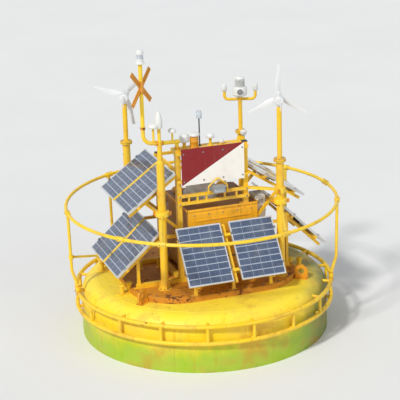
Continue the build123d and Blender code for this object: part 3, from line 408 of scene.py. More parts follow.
def trace(points):
    """Draw a chain of edges through points, left in edit mode."""
    deselect()
    bpy.ops.mesh.primitive_plane_add(size=1, location=(0, 0, 0))
    mode("EDIT")
    select("VERT")
    bpy.ops.mesh.merge(type="CENTER")
    select()
    spot = Vector(points[0])
    bpy.ops.transform.translate(value=spot)
    for point in points[1:]:
        extrude(Vector(point) - spot)
        spot = Vector(point)
    select()


def close_skin(angle=35):
    """Merge doubled points, turn the normals outward and shade; ends edit mode."""
    select()
    bpy.ops.mesh.remove_doubles(threshold=0.00005)
    bpy.ops.mesh.normals_make_consistent(inside=False)
    mode("OBJECT")
    bpy.ops.object.shade_smooth_by_angle(angle=radians(angle))


def turned(profile, steps=28):
    """A round piece spun from a profile of radius and height, from axis to axis or closed on itself."""
    trace([(radius / 1000, 0, height / 1000) for radius, height in profile])
    bpy.ops.mesh.spin(steps=steps, angle=2 * pi, center=(0, 0, 0), axis=(0, 0, 1))
    close_skin()
    return name_piece()


def band(inner, outer, width, steps=28, edge=0.15):
    """A ring round Z with chamfered rims, its middle at the origin."""
    cut, half = (outer - inner) * edge, width / 2
    return turned(((inner, -half), (outer - cut, -half), (outer, cut - half), (outer, half - cut),
                   (outer - cut, half), (inner, half), (inner, -half)), steps)


def bevel(piece, width, segments=2):
    """Round a finished piece's edges and apply the rounding."""
    hold(piece)
    rounding = piece.modifiers.new("Rounding", "BEVEL")
    rounding.width = width
    rounding.segments = segments
    rounding.limit_method = "ANGLE"
    bpy.ops.object.modifier_apply(modifier="Rounding")
    bpy.ops.object.shade_smooth_by_angle(angle=radians(35))
    deselect()
    return piece


def plate(outline, thickness, edge=1.2):
    """A flat plate from an outline of X and Z, its thickness half on each side of the XZ plane."""
    thickness /= 1000
    trace([(x / 1000, -thickness / 2, z / 1000) for x, z in outline])
    bpy.ops.mesh.edge_face_add()
    select()
    extrude((0, thickness, 0))
    close_skin()
    return bevel(name_piece(), edge / 1000, 1)


def rounded(width, height, corner, steps=4):
    """Outline of a rounded rectangle round the origin."""
    angles = [(across, along, radians(first + 90 * step / steps)) for across, along, first in
              ((1, 1, 0), (-1, 1, 90), (-1, -1, 180), (1, -1, 270)) for step in range(steps + 1)]
    return [(across * (width / 2 - corner) + corner * cos(angle),
             along * (height / 2 - corner) + corner * sin(angle)) for across, along, angle in angles]


def block(low, high, edge=0.003):
    """A block between two corners with rounded edges and a sunk face on its top."""
    deselect()
    low, high = Vector(low), Vector(high)
    bpy.ops.mesh.primitive_cube_add(size=1, location=(low + high) / 2, scale=high - low)
    piece = name_piece()
    hold(piece)
    mode("EDIT")
    pick(lambda normal: normal.z > 0.9)
    least = min(high - low)
    bpy.ops.mesh.inset(thickness=least * 0.12, depth=-min(0.002, least * 0.05))
    mode("OBJECT")
    return bevel(piece, edge)


def tube(points, radius, bend=0.0):
    """A round bar along points, its corners rounded and its ends closed."""
    trace(points)
    if bend:
        ends = (Vector(points[0]), Vector(points[-1]))
        bpy.ops.mesh.select_mode(type="VERT")
        mode("OBJECT")
        for corner in bpy.context.object.data.vertices:
            corner.select = min((corner.co - end).length for end in ends) > 0.0001
        mode("EDIT")
        bpy.ops.mesh.bevel(offset=bend, segments=6, affect="VERTICES")
    mode("OBJECT")
    bpy.ops.object.convert(target="CURVE")
    line = bpy.context.object.data
    line.bevel_depth = radius
    line.bevel_resolution = 3
    line.use_fill_caps = True
    bpy.ops.object.convert(target="MESH")
    mode("EDIT")
    close_skin(45)
    return name_piece()


def hex_bolt(size):
    """Hexagon head with a chamfered top on a washer, its seat at the origin."""
    size /= 1000
    deselect()
    bpy.ops.mesh.primitive_cylinder_add(vertices=6, radius=size, depth=size * 0.7,
                                        location=(0, 0, size * 0.55))
    mode("EDIT")
    pick(lambda normal: normal.z > 0.9)
    bpy.ops.mesh.inset(thickness=size * 0.14, depth=size * 0.1)
    pick(lambda normal: normal.z < -0.9)
    bpy.ops.mesh.inset(thickness=size * 0.02)
    extrude((0, 0, -size * 0.06))
    bpy.ops.transform.resize(value=(1.45, 1.45, 1))
    extrude((0, 0, -size * 0.14))
    mode("OBJECT")
    return name_piece()


def moved(piece, place):
    piece.matrix_world = place
    return piece


def bolts(size, spots):
    """A list of bolts, each at a place and facing a direction."""
    return [moved(hex_bolt(size), facing(place, direction)) for place, direction in spots]


def joined(pieces, name="pattern"):
    """Several pieces as one mesh."""
    deselect()
    for piece in pieces:
        piece.select_set(True)
    bpy.context.view_layer.objects.active = pieces[0]
    bpy.ops.object.transform_apply(location=True, rotation=True, scale=True)
    if len(pieces) > 1:
        bpy.ops.object.join()
    return name_piece(name)


def placed(pattern, places):
    """Copies of a pattern at several places, each with its own mesh, joined to one."""
    copies = []
    for place in places:
        twin = pattern.copy()
        twin.data = pattern.data.copy()
        bpy.context.collection.objects.link(twin)
        copies.append(moved(twin, place))
    bpy.data.objects.remove(pattern)
    return joined(copies)


def join(pieces, name, look, body="root", slot=None, stands_for=None):
    """One piece with its finish and body; it hides the solid that it stands for."""
    piece = joined(pieces, name)
    piece.data.materials.clear()
    piece.data.materials.append(finishes[look])
    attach(piece, body)
    if stands_for:
        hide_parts(stands_for)


def put(pattern, places, name, look, **more):
    """Copies of a pattern as one piece with its finish and body."""
    join([placed(pattern, places)], name, look, **more)


# Solar modules: laminates, gap strips, clamps and junction boxes.
module_width, module_length, module_gap = 0.655, 0.868, {"front": 0.125, "left": 0.03, "right": 0.03}
# Columns: side it faces, distance of the low edge, height of the low edge, tilt.
arrays = (
    ("front", 1.222, 1.068, 52.0),
    ("left", 1.457, 1.104, 41.5),
    ("left", 1.264, 2.011, 35.3),
    ("right", 1.683, 1.17, 45.0),
    ("right", 1.361, 1.941, 33.0),
)


def module_place(side, reach, height, tilt, slot):
    """Place of one module's back: X along its width, Y up its slope, Z out of its face."""
    rise, run = sin(radians(tilt)), cos(radians(tilt))
    shift = slot * (module_width + module_gap[side]) / 2
    if side == "front":
        return axes_at((0.08 + shift, -reach, height), (1, 0, 0), (0, run, rise), (0, -rise, run))
    sign = -1 if side == "left" else 1
    return axes_at((sign * reach, 0.105 + sign * shift, height), (0, sign, 0), (-sign * run, 0, rise),
                   (sign * rise, 0, run))


def module_places(side):
    return [module_place(*array, slot) for array in arrays if array[0] == side for slot in (-1, 1)]


def laminate():
    """One glass laminate with a thin bevelled edge, mapped from corner to corner."""
    deselect()
    bpy.ops.mesh.primitive_plane_add(size=1, location=(0, module_length / 2, 0.0335))
    bpy.context.object.scale = (module_width - 0.0326, module_length - 0.0326, 1)
    bpy.ops.object.transform_apply(location=True, rotation=True, scale=True)
    mode("EDIT")
    bpy.ops.mesh.subdivide(number_cuts=3)
    select()
    extrude((0, 0, -0.0045))
    select()
    bpy.ops.mesh.normals_make_consistent(inside=False)
    mode("OBJECT")
    return name_piece()


for side in module_gap:
    put(laminate(), module_places(side), f"{side}_laminates", "cells", stands_for=f"{side}_module_panels")
every_module = [place for side in module_gap for place in module_places(side)]
strip = block((-0.026, 0.0, 0.0362), (0.026, module_length, 0.0412), 0.0015)
put(strip, [module_place(*array, 0) for array in arrays if array[0] != "front"], "module_strips", "rail",
    slot="frame_paint")
clamp = block((-0.02, -0.012, 0.0), (0.02, 0.016, 0.006), 0.0015)
clamp = joined([clamp, moved(hex_bolt(6.5), at(0, 0.004, 0.006))])
clamp_spots = [at(side * (module_width / 2 - 0.006), share * module_length, 0.035, -90 * side)
               for side in (-1, 1) for share in (0.2, 0.8)]
put(clamp, [place @ spot for place in every_module for spot in clamp_spots], "module_clamps", "steel")
box = block((-0.055, -0.045, -0.024), (0.055, 0.045, 0.028), 0.004)
gland = turned(((0, 0), (11, 0), (11, 12), (8, 14), (8, 30), (0, 30)), 10)
box = joined([box, moved(gland, facing((0.03, -0.043, 0.0), (0, -1, 0)))])
put(box, [place @ at(0, 0.5 * module_length) for place in every_module], "junction_boxes", "battery")

# Masts and poles: feet, flanges and collars.
plinth_top, deck, foot_top, hull_side = 0.88, 0.8, 0.894, 1.8
front_mast, right_pole, left_pole, sensor_mast = (-0.798, -0.634), (0.91, -0.78), (-0.84, 0.85), (0.947, 0.84)
neck_top, lidar = (-1.026, -0.64), (0.02, 0.09)
# Columns: place, radius at the foot, plate radius, height of the flange, flange radius.
masts = (
    (front_mast, 0.055, 0.095, None, None),
    (right_pole, 0.055, 0.095, 2.6, 0.088),
    (left_pole, 0.055, 0.095, 2.65, 0.088),
    (sensor_mast, 0.048, 0.075, 2.6, 0.08),
)
mast_bolts, gussets, gaskets = [], [], []
for spot, radius, plate_radius, flange, flange_radius in masts:
    for angle in [22.5 + 45 * step for step in range(8)]:
        foot = Vector((*spot, 0)) + on_circle((radius + plate_radius) / 2, angle, foot_top)
        mast_bolts.append(facing(foot, UP, angle))
        if flange:
            rim = Vector((*spot, flange)) + on_circle(flange_radius - 0.015, angle)
            mast_bolts += [facing(rim + side * 0.02, side, angle) for side in (UP, DOWN)]
    if flange:
        gaskets.append(at(*spot, flange, size=flange_radius / 0.088))
    gussets += [at(*spot, foot_top, 90 * step) @ at(radius - 0.003) for step in range(4)]
put(hex_bolt(8.5), mast_bolts, "mast_bolts", "steel")
put(plate(((0, 0), (32, 0), (32, 12), (8, 120), (0, 120)), 8), gussets, "mast_gussets", "frame")
put(band(60, 89.5, 5), gaskets, "flange_gaskets", "rubber")
reducer = turned(((34, 2720), (55.5, 2720), (55.5, 2728), (52, 2738), (38, 2768), (34, 2768), (34, 2720)))
put(reducer, [at(*front_mast)], "mast_reducer", "frame")

# Columns: place, height, radius, direction of the strut that it carries.
collars = ((front_mast, 2.000, 0.095, -108.4), (right_pole, 2.000, 0.095, -108.8),
           (right_pole, 2.165, 0.077, 144.4))
ear = [block((-0.006, low, -0.027), (0.034, high, 0.027), 0.0015)
       for low, high in ((0.003, 0.012), (-0.012, -0.003))]
ear += bolts(7, [((0.019, side * 0.012, lift), (0, side, 0)) for lift in (-0.013, 0.013) for side in (-1, 1)])
ears = [at(*(Vector((*spot, height)) + on_circle(radius, angle + turn)), angle + turn)
        for spot, height, radius, angle in collars for turn in (-90, 90)]
put(joined(ear), ears, "collar_ears", "fitting", slot="frame_paint")

# Guard ring and fender: bands and set screws on couplings, clamps of the posts, weld collars and a post.
ring_reach, ring_height, fender_reach, fender_high, fender_low = 1.95, 1.91, 1.862, 0.7, 0.455
post_angles, fender_angles = (-25.0, 29.0, 117.0, 174.5), range(-68, 292, 20)
ring_bands, ring_screws, fender_bands = [], [], []
for angle in post_angles + (0.0, 67.0, 217.0, 235.0, 286.0):
    middle = on_circle(ring_reach, angle, ring_height)
    along, away = on_circle(1, angle + 90), on_circle(1, angle)
    for side in (-1, 1):
        ring_bands.append(facing(middle + along * side * 0.048, along))
        ring_screws += [facing(middle + along * side * 0.026 + out * 0.035, out) for out in (UP, away)]
for angle in post_angles:
    middle = on_circle(fender_reach, angle, fender_high)
    along, away = on_circle(1, angle + 90), on_circle(1, angle)
    for side in (-1, 1):
        fender_bands.append(facing(middle + along * side * 0.058, along))
        ring_screws.append(facing(middle + along * side * 0.058 + away * 0.037, away))
    fender_bands.append(facing(on_circle(fender_reach, angle, 0.792), UP) @ Matrix.Scale(0.9, 4))
put(band(34, 40.5, 14, 20), ring_bands, "coupling_bands", "rail")
put(hex_bolt(6), ring_screws, "ring_screws", "steel")
put(band(26.5, 37.5, 22, 20), fender_bands, "fender_clamps", "fitting")
stubs = [facing(on_circle(fender_reach, angle, height), UP)
         for angle in fender_angles for height in (0.487, 0.668)]
stubs += [facing(on_circle(hull_side + 0.003, angle, fender_low), on_circle(1, angle))
          for angle in fender_angles]
post = tube([on_circle(fender_reach, 192, height) for height in (0.46, 0.695)], 0.0222)
join([placed(band(20.5, 28, 10, 14, 0.7), stubs), post], "fender_welds", "fender")

# Brace from a ring post to the left rack, with its sleeves.
brace_post, brace_rack = Vector((-1.931, 0.186, 1.25)), Vector((-1.449, 0.45, 1.112))
brace = brace_rack - brace_post
# Columns: place, direction, inner and outer radius, width.
sleeves = ((brace_post, UP, 23.5, 33, 60), (brace_post + brace * 0.08, brace, 16.5, 24, 20),
           (brace_rack - brace * 0.05, brace, 16.5, 24, 30))
join([tube((brace_post, brace_rack), 0.017),
      *[moved(band(*sizes, 20), facing(place, direction)) for place, direction, *sizes in sleeves]],
     "post_brace", "rail")

# Hull: weld beads, hatches at the back, bollards, pads of the lifting eyes, and a bent pipe.
beads = [turned(((1797, height - 7), (1803.5, height - 3), (1803.5, height + 3), (1797, height + 7),
                 (1797, height - 7)), 120) for height in (556, -96)]
beads.append(turned(((1553, 797), (1557, 803.5), (1563, 803.5), (1567, 797), (1553, 797)), 120))
beads += [tube([on_circle(hull_side, angle, height) for height in (-0.09, 0.55)], 0.004)
          for angle in range(12, 360, 45)]
join(beads, "hull_welds", "hull")
hatches = [at(x, 1.315, deck) for x in (-0.42, 0.42)]
hatch = turned(((0, -2), (168, -2), (168, 10), (160, 14), (128, 14), (124, 22), (90, 26), (0, 27)), 40)
put(hatch, hatches, "deck_hatches", "hull")
deck_bolts = [place @ at(*on_circle(0.145, 36 * step, 0.014)) for place in hatches for step in range(10)]
rim = [(x, side * 1.045) for side in (-1, 1) for x in (-0.52, -0.26, 0, 0.26, 0.52)]
rim += [(side * 1.195, y) for side in (-1, 1) for y in (-0.37, 0, 0.37)]
rim += [(across * (0.52 + spot.x), along * (0.37 + spot.y)) for across in (-1, 1) for along in (-1, 1)
        for spot in [on_circle(0.675, angle) for angle in (22.5, 45, 67.5)]]
put(hex_bolt(11), deck_bolts + [at(*spot, plinth_top) for spot in rim], "deck_bolts", "steel")
put(block((-0.006, -1.05, 0.8795), (0.006, 1.05, 0.8825), 0.001), [at(x) for x in (-0.66, -0.05, 0.62)],
    "plinth_seams", "deck")

bollard = turned(((0, 0), (40, 0), (40, 12), (33, 18), (33, 95), (47, 108), (47, 122), (36, 134),
                  (0, 138)), 24)
bollard = [placed(bollard, [at(x, 0, 0.01) for x in (-0.07, 0.07)]),
           block((-0.135, -0.055, -0.001), (0.135, 0.055, 0.012), 0.004)]
bollards = [at(x, y, deck, turn) for x, y, turn in
            ((1.295, -0.355, -24), (-1.295, -0.355, 24), (1.295, 0.62, 25), (-1.295, 0.62, -25))]
put(joined(bollard), bollards, "deck_bollards", "fender", slot="fitting_paint")
pad = block((-0.12, -0.05, -0.001), (0.094, 0.05, 0.008), 0.003)
fins = placed(plate(((13, 4), (47, 4), (47, 12), (20, 64), (13, 64)), 7),
              [at(reach, turn=turn) for reach in (-0.074, 0.074) for turn in (-90, 90)])
put(joined([pad, fins]), [at(*on_circle(1.46, angle, deck), angle) for angle in (-145, -35, 35, 145)],
    "lifting_eye_pads", "fitting")
pipe = [tube(((-0.88, 0.24, 0.875), (-0.88, 0.24, 1.02), (-0.62, 0.22, 1.02), (-0.62, 0.22, 0.875)),
             0.017, 0.07)]
pipe += [moved(turned(((0, 0), (36, 0), (36, 8), (22, 14), (0, 14)), 20), at(x, y, plinth_top - 0.001))
         for x, y in ((-0.88, 0.24), (-0.62, 0.22))]
join(pipe, "deck_pipe", "rail")

# Keel: anodes, weld collars and ballast nuts.
anodes, keel_collars, nuts = [], [], []
for angle in (45, 135, 225, 315):
    top, bottom = on_circle(0.64, angle, -0.44), on_circle(0.3, angle, -1.41)
    anodes.append(facing(top.lerp(bottom, 0.45), top - bottom))
    keel_collars += [facing(top.lerp(bottom, share), top - bottom) for share in (0.069, 0.93)]
    nuts += [facing(on_circle(0.33, angle + turn, -1.46), DOWN) for turn in (-12, 12)]
anode = turned(((37, -120), (49, -112), (57, -60), (57, 60), (49, 112), (37, 120), (37, -120)), 20)
put(anode, anodes, "keel_anodes", "grey", slot="ballast_iron")
put(band(36, 50, 16, 20, 0.8), keel_collars, "keel_welds", "keel")
put(hex_bolt(18), nuts, "ballast_nuts", "iron")

# Tower: caps, cleats, gussets and bolts.
post_left, post_right, post_y = -0.492, 0.505, 0.46
put(block((-0.038, -0.038, -0.002), (0.038, 0.038, 0.01), 0.004),
    [at(post_right, -post_y, 2.84), at(post_left, post_y, 2.55), at(post_right, post_y, 2.55)],
    "post_caps", "rubber")
cleat = joined([plate(((0, 0), (60, 0), (60, 6), (10, 6), (6, 10), (6, 80), (0, 80)), 60),
                *bolts(9, [((0.038, 0, 0.006), UP), ((0.006, 0, 0.052), (1, 0, 0))])])
# Columns: x, height, turn and size of the cleats at both posts.
cleat_rows = ((post_left + 0.035, 0.94, 0, 1), (post_right - 0.035, 1.94, 180, 1), (-1.16, 0.88, 180, 0.75),
              (1.16, 0.88, 0, 0.75), (-1.11, 0.94, 0, 0.8), (1.11, 0.94, 180, 0.8))
cleats = [at(x, y, height, turn, size) for x, height, turn, size in cleat_rows for y in (-post_y, post_y)]
cleats += [at(x + side * 0.02, -1.04, 0.88, 90 - 90 * side, 0.7)
           for x in (-0.48, 0.08, 0.64) for side in (-1, 1)]
for array in arrays:
    spread = (-0.56, 0, 0.56) if array[0] == "front" else (-post_y - 0.105, post_y - 0.105)
    sign = -1 if array[0] == "left" else 1
    cleats += [module_place(*array, 0) @ at(sign * across + 0.02, share * module_length, -0.04) @
               Matrix.Rotation(pi, 4, "X") @ Matrix.Scale(0.5, 4)
               for across in spread for share in (0.2, 0.8)]
put(cleat, cleats, "frame_cleats", "frame")
put(plate(((0, 0), (110, 0), (110, -12), (12, -110), (0, -110)), 6),
    [at(x, side * 0.4245, 2.491, -90 * side) for x in (post_left, post_right) for side in (-1, 1)],
    "tower_gussets", "frame")
rail_bolts = [facing((x, side * 0.535, height), (0, side, 0)) for x in (post_left, post_right)
              for side, height in ((-1, 2.055), (-1, 2.165), (1, 2.26), (1, 2.51))]
rail_bolts += [facing((x, -0.547, height), (0, -1, 0))
               for x in (-0.43, -0.14, 0.15, 0.44) for height in (2.38, 2.78)]
put(hex_bolt(9.5), rail_bolts, "rail_bolts", "steel")
neck_bands = [facing(place, along) for place, along in (
    ((-0.76, -0.614, 3.005), (-0.334, -0.174, 0.062)), ((-0.842, -0.635, 3.017), (-0.228, -0.006, 0.028)),
    ((post_left, -post_y, 2.862), UP), ((*neck_top, 3.25), UP))]
put(band(26.5, 36.5, 30, 22), neck_bands, "neck_clamps", "fitting")

# Cabin: trim, front panel, louvres, glands, conduits, roof vents and locker details.
join([block(low, high) for low, high in (
    ((-0.392, -0.513, 1.914), (0.682, -0.499, 1.942)), ((-0.393, -0.513, 1.914), (-0.379, 0.498, 1.942)),
    ((0.669, -0.513, 1.914), (0.683, 0.498, 1.942)))], "cabin_trim", "cabin")
join([moved(plate(rounded(900, 840, 40), 10, 3), at(0.145, -0.503, 1.455)),
      *[block((-0.26, -0.516, height), (0.55, -0.506, height + 0.022), 0.005) for height in (1.56, 1.76)]],
     "cabin_front_panel", "cabin")
panel_spots = [(x, z) for x in (-0.43, -0.215, 0, 0.215, 0.43) for z in (-0.4, 0.4)]
panel_spots += [(x, z) for x in (-0.43, 0.43) for z in (-0.2, 0, 0.2)]
cabin_screws = [facing((0.145 + x, -0.508, 1.455 + z), (0, -1, 0)) for x, z in panel_spots]
cabin_screws += [facing(Vector((*lidar, 2.0)) + on_circle(0.225, 45 * step), UP) for step in range(8)]
put(hex_bolt(8), cabin_screws, "cabin_screws", "steel")


def louvres(name, places, body="root"):
    """Banks of slanted slats that face -X before they are placed."""
    slat = plate(((2, 14), (-4, 14), (-18, 1), (-18, -2), (2, 8)), 220)
    put(slat, [place @ at(0, 0, 0.026 * step) for place in places for step in range(7)], name, "cabin",
        body=body)


louvres("cabin_louvres", [at(-0.38, 0.05, 1.35), at(0.67, 0.2, 1.35, 180)])
glands = [facing((-0.38, y, 1.07), (-1, 0, 0)) for y in (-0.4, -0.34, -0.28, -0.22)]
glands += [facing((0.67, y, 1.07), (1, 0, 0)) for y in (-0.4, -0.34, -0.28)]
glands += [facing((0.75, -0.29, 1.66), DOWN), facing((0.79, -0.35, 1.66), DOWN)]
put(turned(((0, -2), (16, -2), (16, 12), (12, 14), (13, 26), (10, 34), (0, 34)), 12), glands,
    "cable_glands", "rubber")
drops = [(-0.4, -0.44, y) for y in (-0.4, -0.34, -0.28)] + [(0.69, 0.73, y) for y in (-0.4, -0.34)]
conduits = [tube(((start, y, 1.07), (x, y, 1.07), (x, y, 0.878)), 0.008, 0.02) for start, x, y in drops]
conduits += [tube(((x, y, 1.64), (x, y, height), (0.668, y, height)), 0.008, 0.03)
             for x, y, height in ((0.75, -0.29, 1.56), (0.79, -0.35, 1.5))]
join(conduits, "cabin_conduits", "rubber")
vent = turned(((0, 0), (62, 0), (62, 8), (42, 12), (42, 55), (80, 50), (83, 58), (66, 78), (30, 88),
               (0, 90)), 32)
put(vent, [at(0.43, 0.31, 1.939), at(-0.24, 0.36, 1.939)], "roof_vents", "cabin")
latch_heights, latch = (1.75, 1.9), ((0, 0), (14, 0), (14, 5), (9, 8), (9, 14), (0, 15))
locker = [moved(plate(rounded(200, 280, 25), 8, 2), at(0.836, -0.29, 1.825, 90))]
locker += [moved(turned(latch, 16), facing((0.839, -0.372, height), (1, 0, 0))) for height in latch_heights]
locker += [tube(((0.84, -0.186, height - 0.025), (0.84, -0.186, height + 0.025)), 0.006)
           for height in latch_heights]
join(locker, "locker_door", "white")
join([moved(plate(rounded(90, 60, 10), 4), at(0.752, -0.411, 1.9))], "locker_pane", "window")

# Lidar: fins, window, rings, handles, screws and wiper.
lidar_place = at(*lidar)
put(plate(((0, 2170), (12, 2180), (12, 2440), (0, 2450)), 5),
    [lidar_place @ at(turn=10 * step) @ at(0.2035) for step in range(36)], "lidar_fins", "grey",
    slot="lidar_shell")
put(turned(((0, 2612), (111, 2612), (111, 2619), (106, 2622), (0, 2623)), 40), [lidar_place], "lidar_pane",
    "window", slot="lidar_shell")
grip = ((0.202, -0.07, 2.33), (0.246, -0.07, 2.33), (0.246, 0.07, 2.33), (0.202, 0.07, 2.33))
rings = [moved(band(119, 140, 8, 40), at(0, 0, 2.632))]
rings += [moved(band(203.5, 209.5, 12, 48), at(0, 0, height)) for height in (2.085, 2.505)]
rings += [moved(tube(grip, 0.008, 0.02), at(turn=angle)) for angle in (60, 240)]
rings += [moved(hex_bolt(4.5), at(*on_circle(0.13, 45 * step, 2.636))) for step in range(8)]
rings.append(tube(((0.125, 0, 2.634), (0.125, 0, 2.645), (0.02, 0.03, 2.632)), 0.004, 0.008))
put(joined(rings), [lidar_place], "lidar_rings", "lidar")

# Work lamp: lens, visor and hinge knobs.
lamp_place, knob = at(0.0535, -0.655, 2.24), ((0, 0), (16, 0), (16, 10), (10, 14), (0, 14))
join([moved(plate(rounded(150, 74, 12), 6, 2), lamp_place @ at(0, -0.001))], "lamp_lens", "lens")
visor = [moved(plate(((-94, 44), (94, 44), (94, 54), (-94, 54)), 60), lamp_place @ at(0, -0.014))]
visor += [moved(turned(knob, 10), facing((0.0535 + side * 0.0905, -0.575, 2.24), (side, 0, 0)))
          for side in (-1, 1)]
join(visor, "lamp_visor", "grey")

# Battery cases inside the cabin.
low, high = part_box("battery_block")
case = [block((-0.098, -0.205, 0.0), (0.098, 0.205, 0.185), 0.008),
        block((-0.101, -0.209, 0.185), (0.101, 0.209, 0.206), 0.005)]
case += [moved(turned(((0, 205), (14, 205), (12, 222), (8, 224), (0, 224)), 12), at(x, -0.16, -0.012))
         for x in (-0.06, 0.06)]
cases = [at(low.x + 0.103 + 0.207 * across, (low.y + high.y) / 2, low.z + 0.207 * layer)
         for across in range(3) for layer in range(2)]
put(joined(case), cases, "battery_cases", "battery", stands_for="battery_block")

# Lantern and topmark.
lantern = [at(*neck_top, 4.1453)]
base = turned(((0, 0), (62, 0), (62, 12), (56, 18), (48, 24), (48, 62), (52, 66), (52, 74), (0, 74)), 36)
put(base, lantern, "lantern_base", "white", slot="lantern_white", stands_for="lantern")
ribbed = [(47 if step % 2 else 44, 74 + 6.5 * step) for step in range(9)]
put(turned(((0, 72), *ribbed, (0, 128)), 36), lantern, "lantern_lens", "lens", slot="lantern_white")
cap = turned(((0, 126), (51, 126), (53, 132), (52, 160), (46, 178), (30, 190), (6, 194.5), (0, 195)), 36)
put(cap, lantern, "lantern_cap", "white", slot="lantern_white")
put(block((-0.004, 0.004, 0.045), (0.004, 0.016, 0.3), 0.002),
    [at(*neck_top, 3.82, 39 + face) @ Matrix.Rotation(radians(angle), 4, "Y") for face in (0, 180)
     for angle in (45, 135, 225, 315)], "topmark_ribs", "topmark")

# Aerials on the shelf, gooseneck and mast: yellow stems and white heads.
shelf_top = 2.8063
# Columns: x, y, foot, then the stem's height and radius in millimetres.
stems = (
    (-0.345, -0.34, shelf_top, 97, 24),
    (0.04, -0.35, shelf_top, 117, 20),
    (0.21, -0.34, shelf_top, 22, 18),
    (*front_mast, 3.034, 193, 24),
    (-0.88, -0.636, 3.044, 198, 16),
    (-0.57, -0.515, 2.99, 125, 14),
)
join([moved(turned(((0, 0), (radius + 14, 0), (radius + 14, 6), (radius + 2, 10), (radius, 16),
                    (radius, height - 8), (radius + 4, height), (0, height)), 20), at(x, y, foot))
      for x, y, foot, height, radius in stems], "aerial_stems", "rail", slot="sensor_white",
     stands_for="antennas")
# Columns: x, y, height of its underside, then the profile over the underside.
heads = (
    (-0.345, -0.34, 2.9013, ((0, 0), (66, 0), (72, 8), (72, 50), (68, 54), (68, 60), (70, 68), (62, 98),
                             (44, 114), (20, 120), (0, 121))),
    (0.04, -0.35, 2.9213, ((0, 0), (56, 0), (60, 6), (60, 26), (52, 46), (34, 59), (14, 63), (0, 64))),
    (0.21, -0.34, 2.8263, ((0, 0), (37, 0), (40, 5), (39, 24), (28, 42), (10, 48), (0, 49))),
    (*front_mast, 3.2253, ((0, 0), (46, 0), (52, 10), (52, 95), (47, 130), (36, 180), (24, 218), (10, 232),
                           (0, 235))),
    (-0.88, -0.636, 3.2403, ((0, 0), (64, 0), (72, 10), (72, 26), (58, 46), (34, 57), (0, 60))),
    (-0.57, -0.515, 3.1133, ((0, 0), (53, 0), (60, 8), (60, 24), (46, 44), (20, 54), (0, 55))),
    (-0.2, -0.35, 2.9763, ((0, 0), (76, 0), (80, 6), (80, 22), (74, 32), (50, 42), (0, 45))),
)
join([moved(turned(profile, 32), at(x, y, foot)) for x, y, foot, profile in heads], "aerial_heads", "white")
canister = turned(((0, 0), (66, 0), (66, 8), (62, 14), (62, 80), (64, 84), (64, 92), (62, 96), (62, 172),
                   (0, 172)), 32)
put(canister, [at(-0.2, -0.35, shelf_top)], "aerial_canister", "canister")
whip = turned(((0, 0), (20, 0), (20, 10), (10, 18), (9, 24), (9, 392), (20, 398), (20, 404), (0, 404)), 16)
put(whip, [at(-0.105, -0.31, shelf_top)], "lamp_pole", "rubber", slot="sensor_white")
globe = turned(((0, 0), (36, 0), (43, 10), (44, 50), (42, 85), (34, 106), (16, 114), (0, 115)), 28)
put(globe, [at(-0.105, -0.31, shelf_top + 0.4)], "pole_lamp", "lens")

# Weather instruments on the sensor mast.
drum = turned(((0, 0), (56, 0), (62, 6), (94, 16), (110, 34), (110, 52), (107, 56), (107, 64), (110, 68),
               (108, 128), (98, 150), (60, 162), (0, 162)), 40)
shield = [(0, 160), (46, 160)]
for low in range(168, 254, 17):
    shield += [(46, low), (77, low - 4), (78, low + 1), (46, low + 8)]
shield += [(46, 270), (72, 268), (70, 282), (56, 298), (34, 308), (0, 310)]
put(joined([drum, turned(shield, 40)]), [at(*sensor_mast, 3.1403)], "weather_station",
    "white", stands_for="sensor_heads")
front = Vector((-0.326, -0.946, 0))
port_place = facing(Vector((*sensor_mast, 3.23)) + front * 0.102, front)
put(turned(((0, 0), (44, 0), (44, 12), (36, 16), (33, 8), (0, 8)), 32), [port_place], "station_port", "grey")
put(turned(((0, 4), (34, 4), (30, 11), (14, 15), (0, 16)), 28), [port_place], "station_glass", "window")
tip = turned(((0, 0), (30, 0), (34, 4), (40, 20), (40, 70), (36, 74), (36, 80), (39, 86), (32, 102),
              (16, 109), (0, 110)), 28)
put(tip, [at(*(Vector((*sensor_mast, 3.2253)) + on_circle(0.23, -20) * side)) for side in (-1, 1)],
    "bar_instruments", "white")
eye_x, eye_y = 0.94, 0.703
join([tube(((*sensor_mast, 2.49), (eye_x, eye_y, 2.49), (eye_x, eye_y, 2.58)), 0.012, 0.04),
      moved(band(47.5, 62, 50), at(*sensor_mast, 2.49))], "camera_bracket", "rail")
camera_ball = turned(((0, -52), (18, -50), (36, -36), (45, -12), (46, 4), (50, 8), (50, 22), (40, 34),
                      (16, 40), (0, 41)), 28)
put(camera_ball, [at(eye_x, eye_y, 2.62)], "mast_camera", "white")

# Turbines: bands and screws on the nacelles, smooth spinners and blade cuffs on the rotors.
shaft_angle = 71
shaft, blade_flat = on_circle(1, shaft_angle), on_circle(1, shaft_angle + 90)
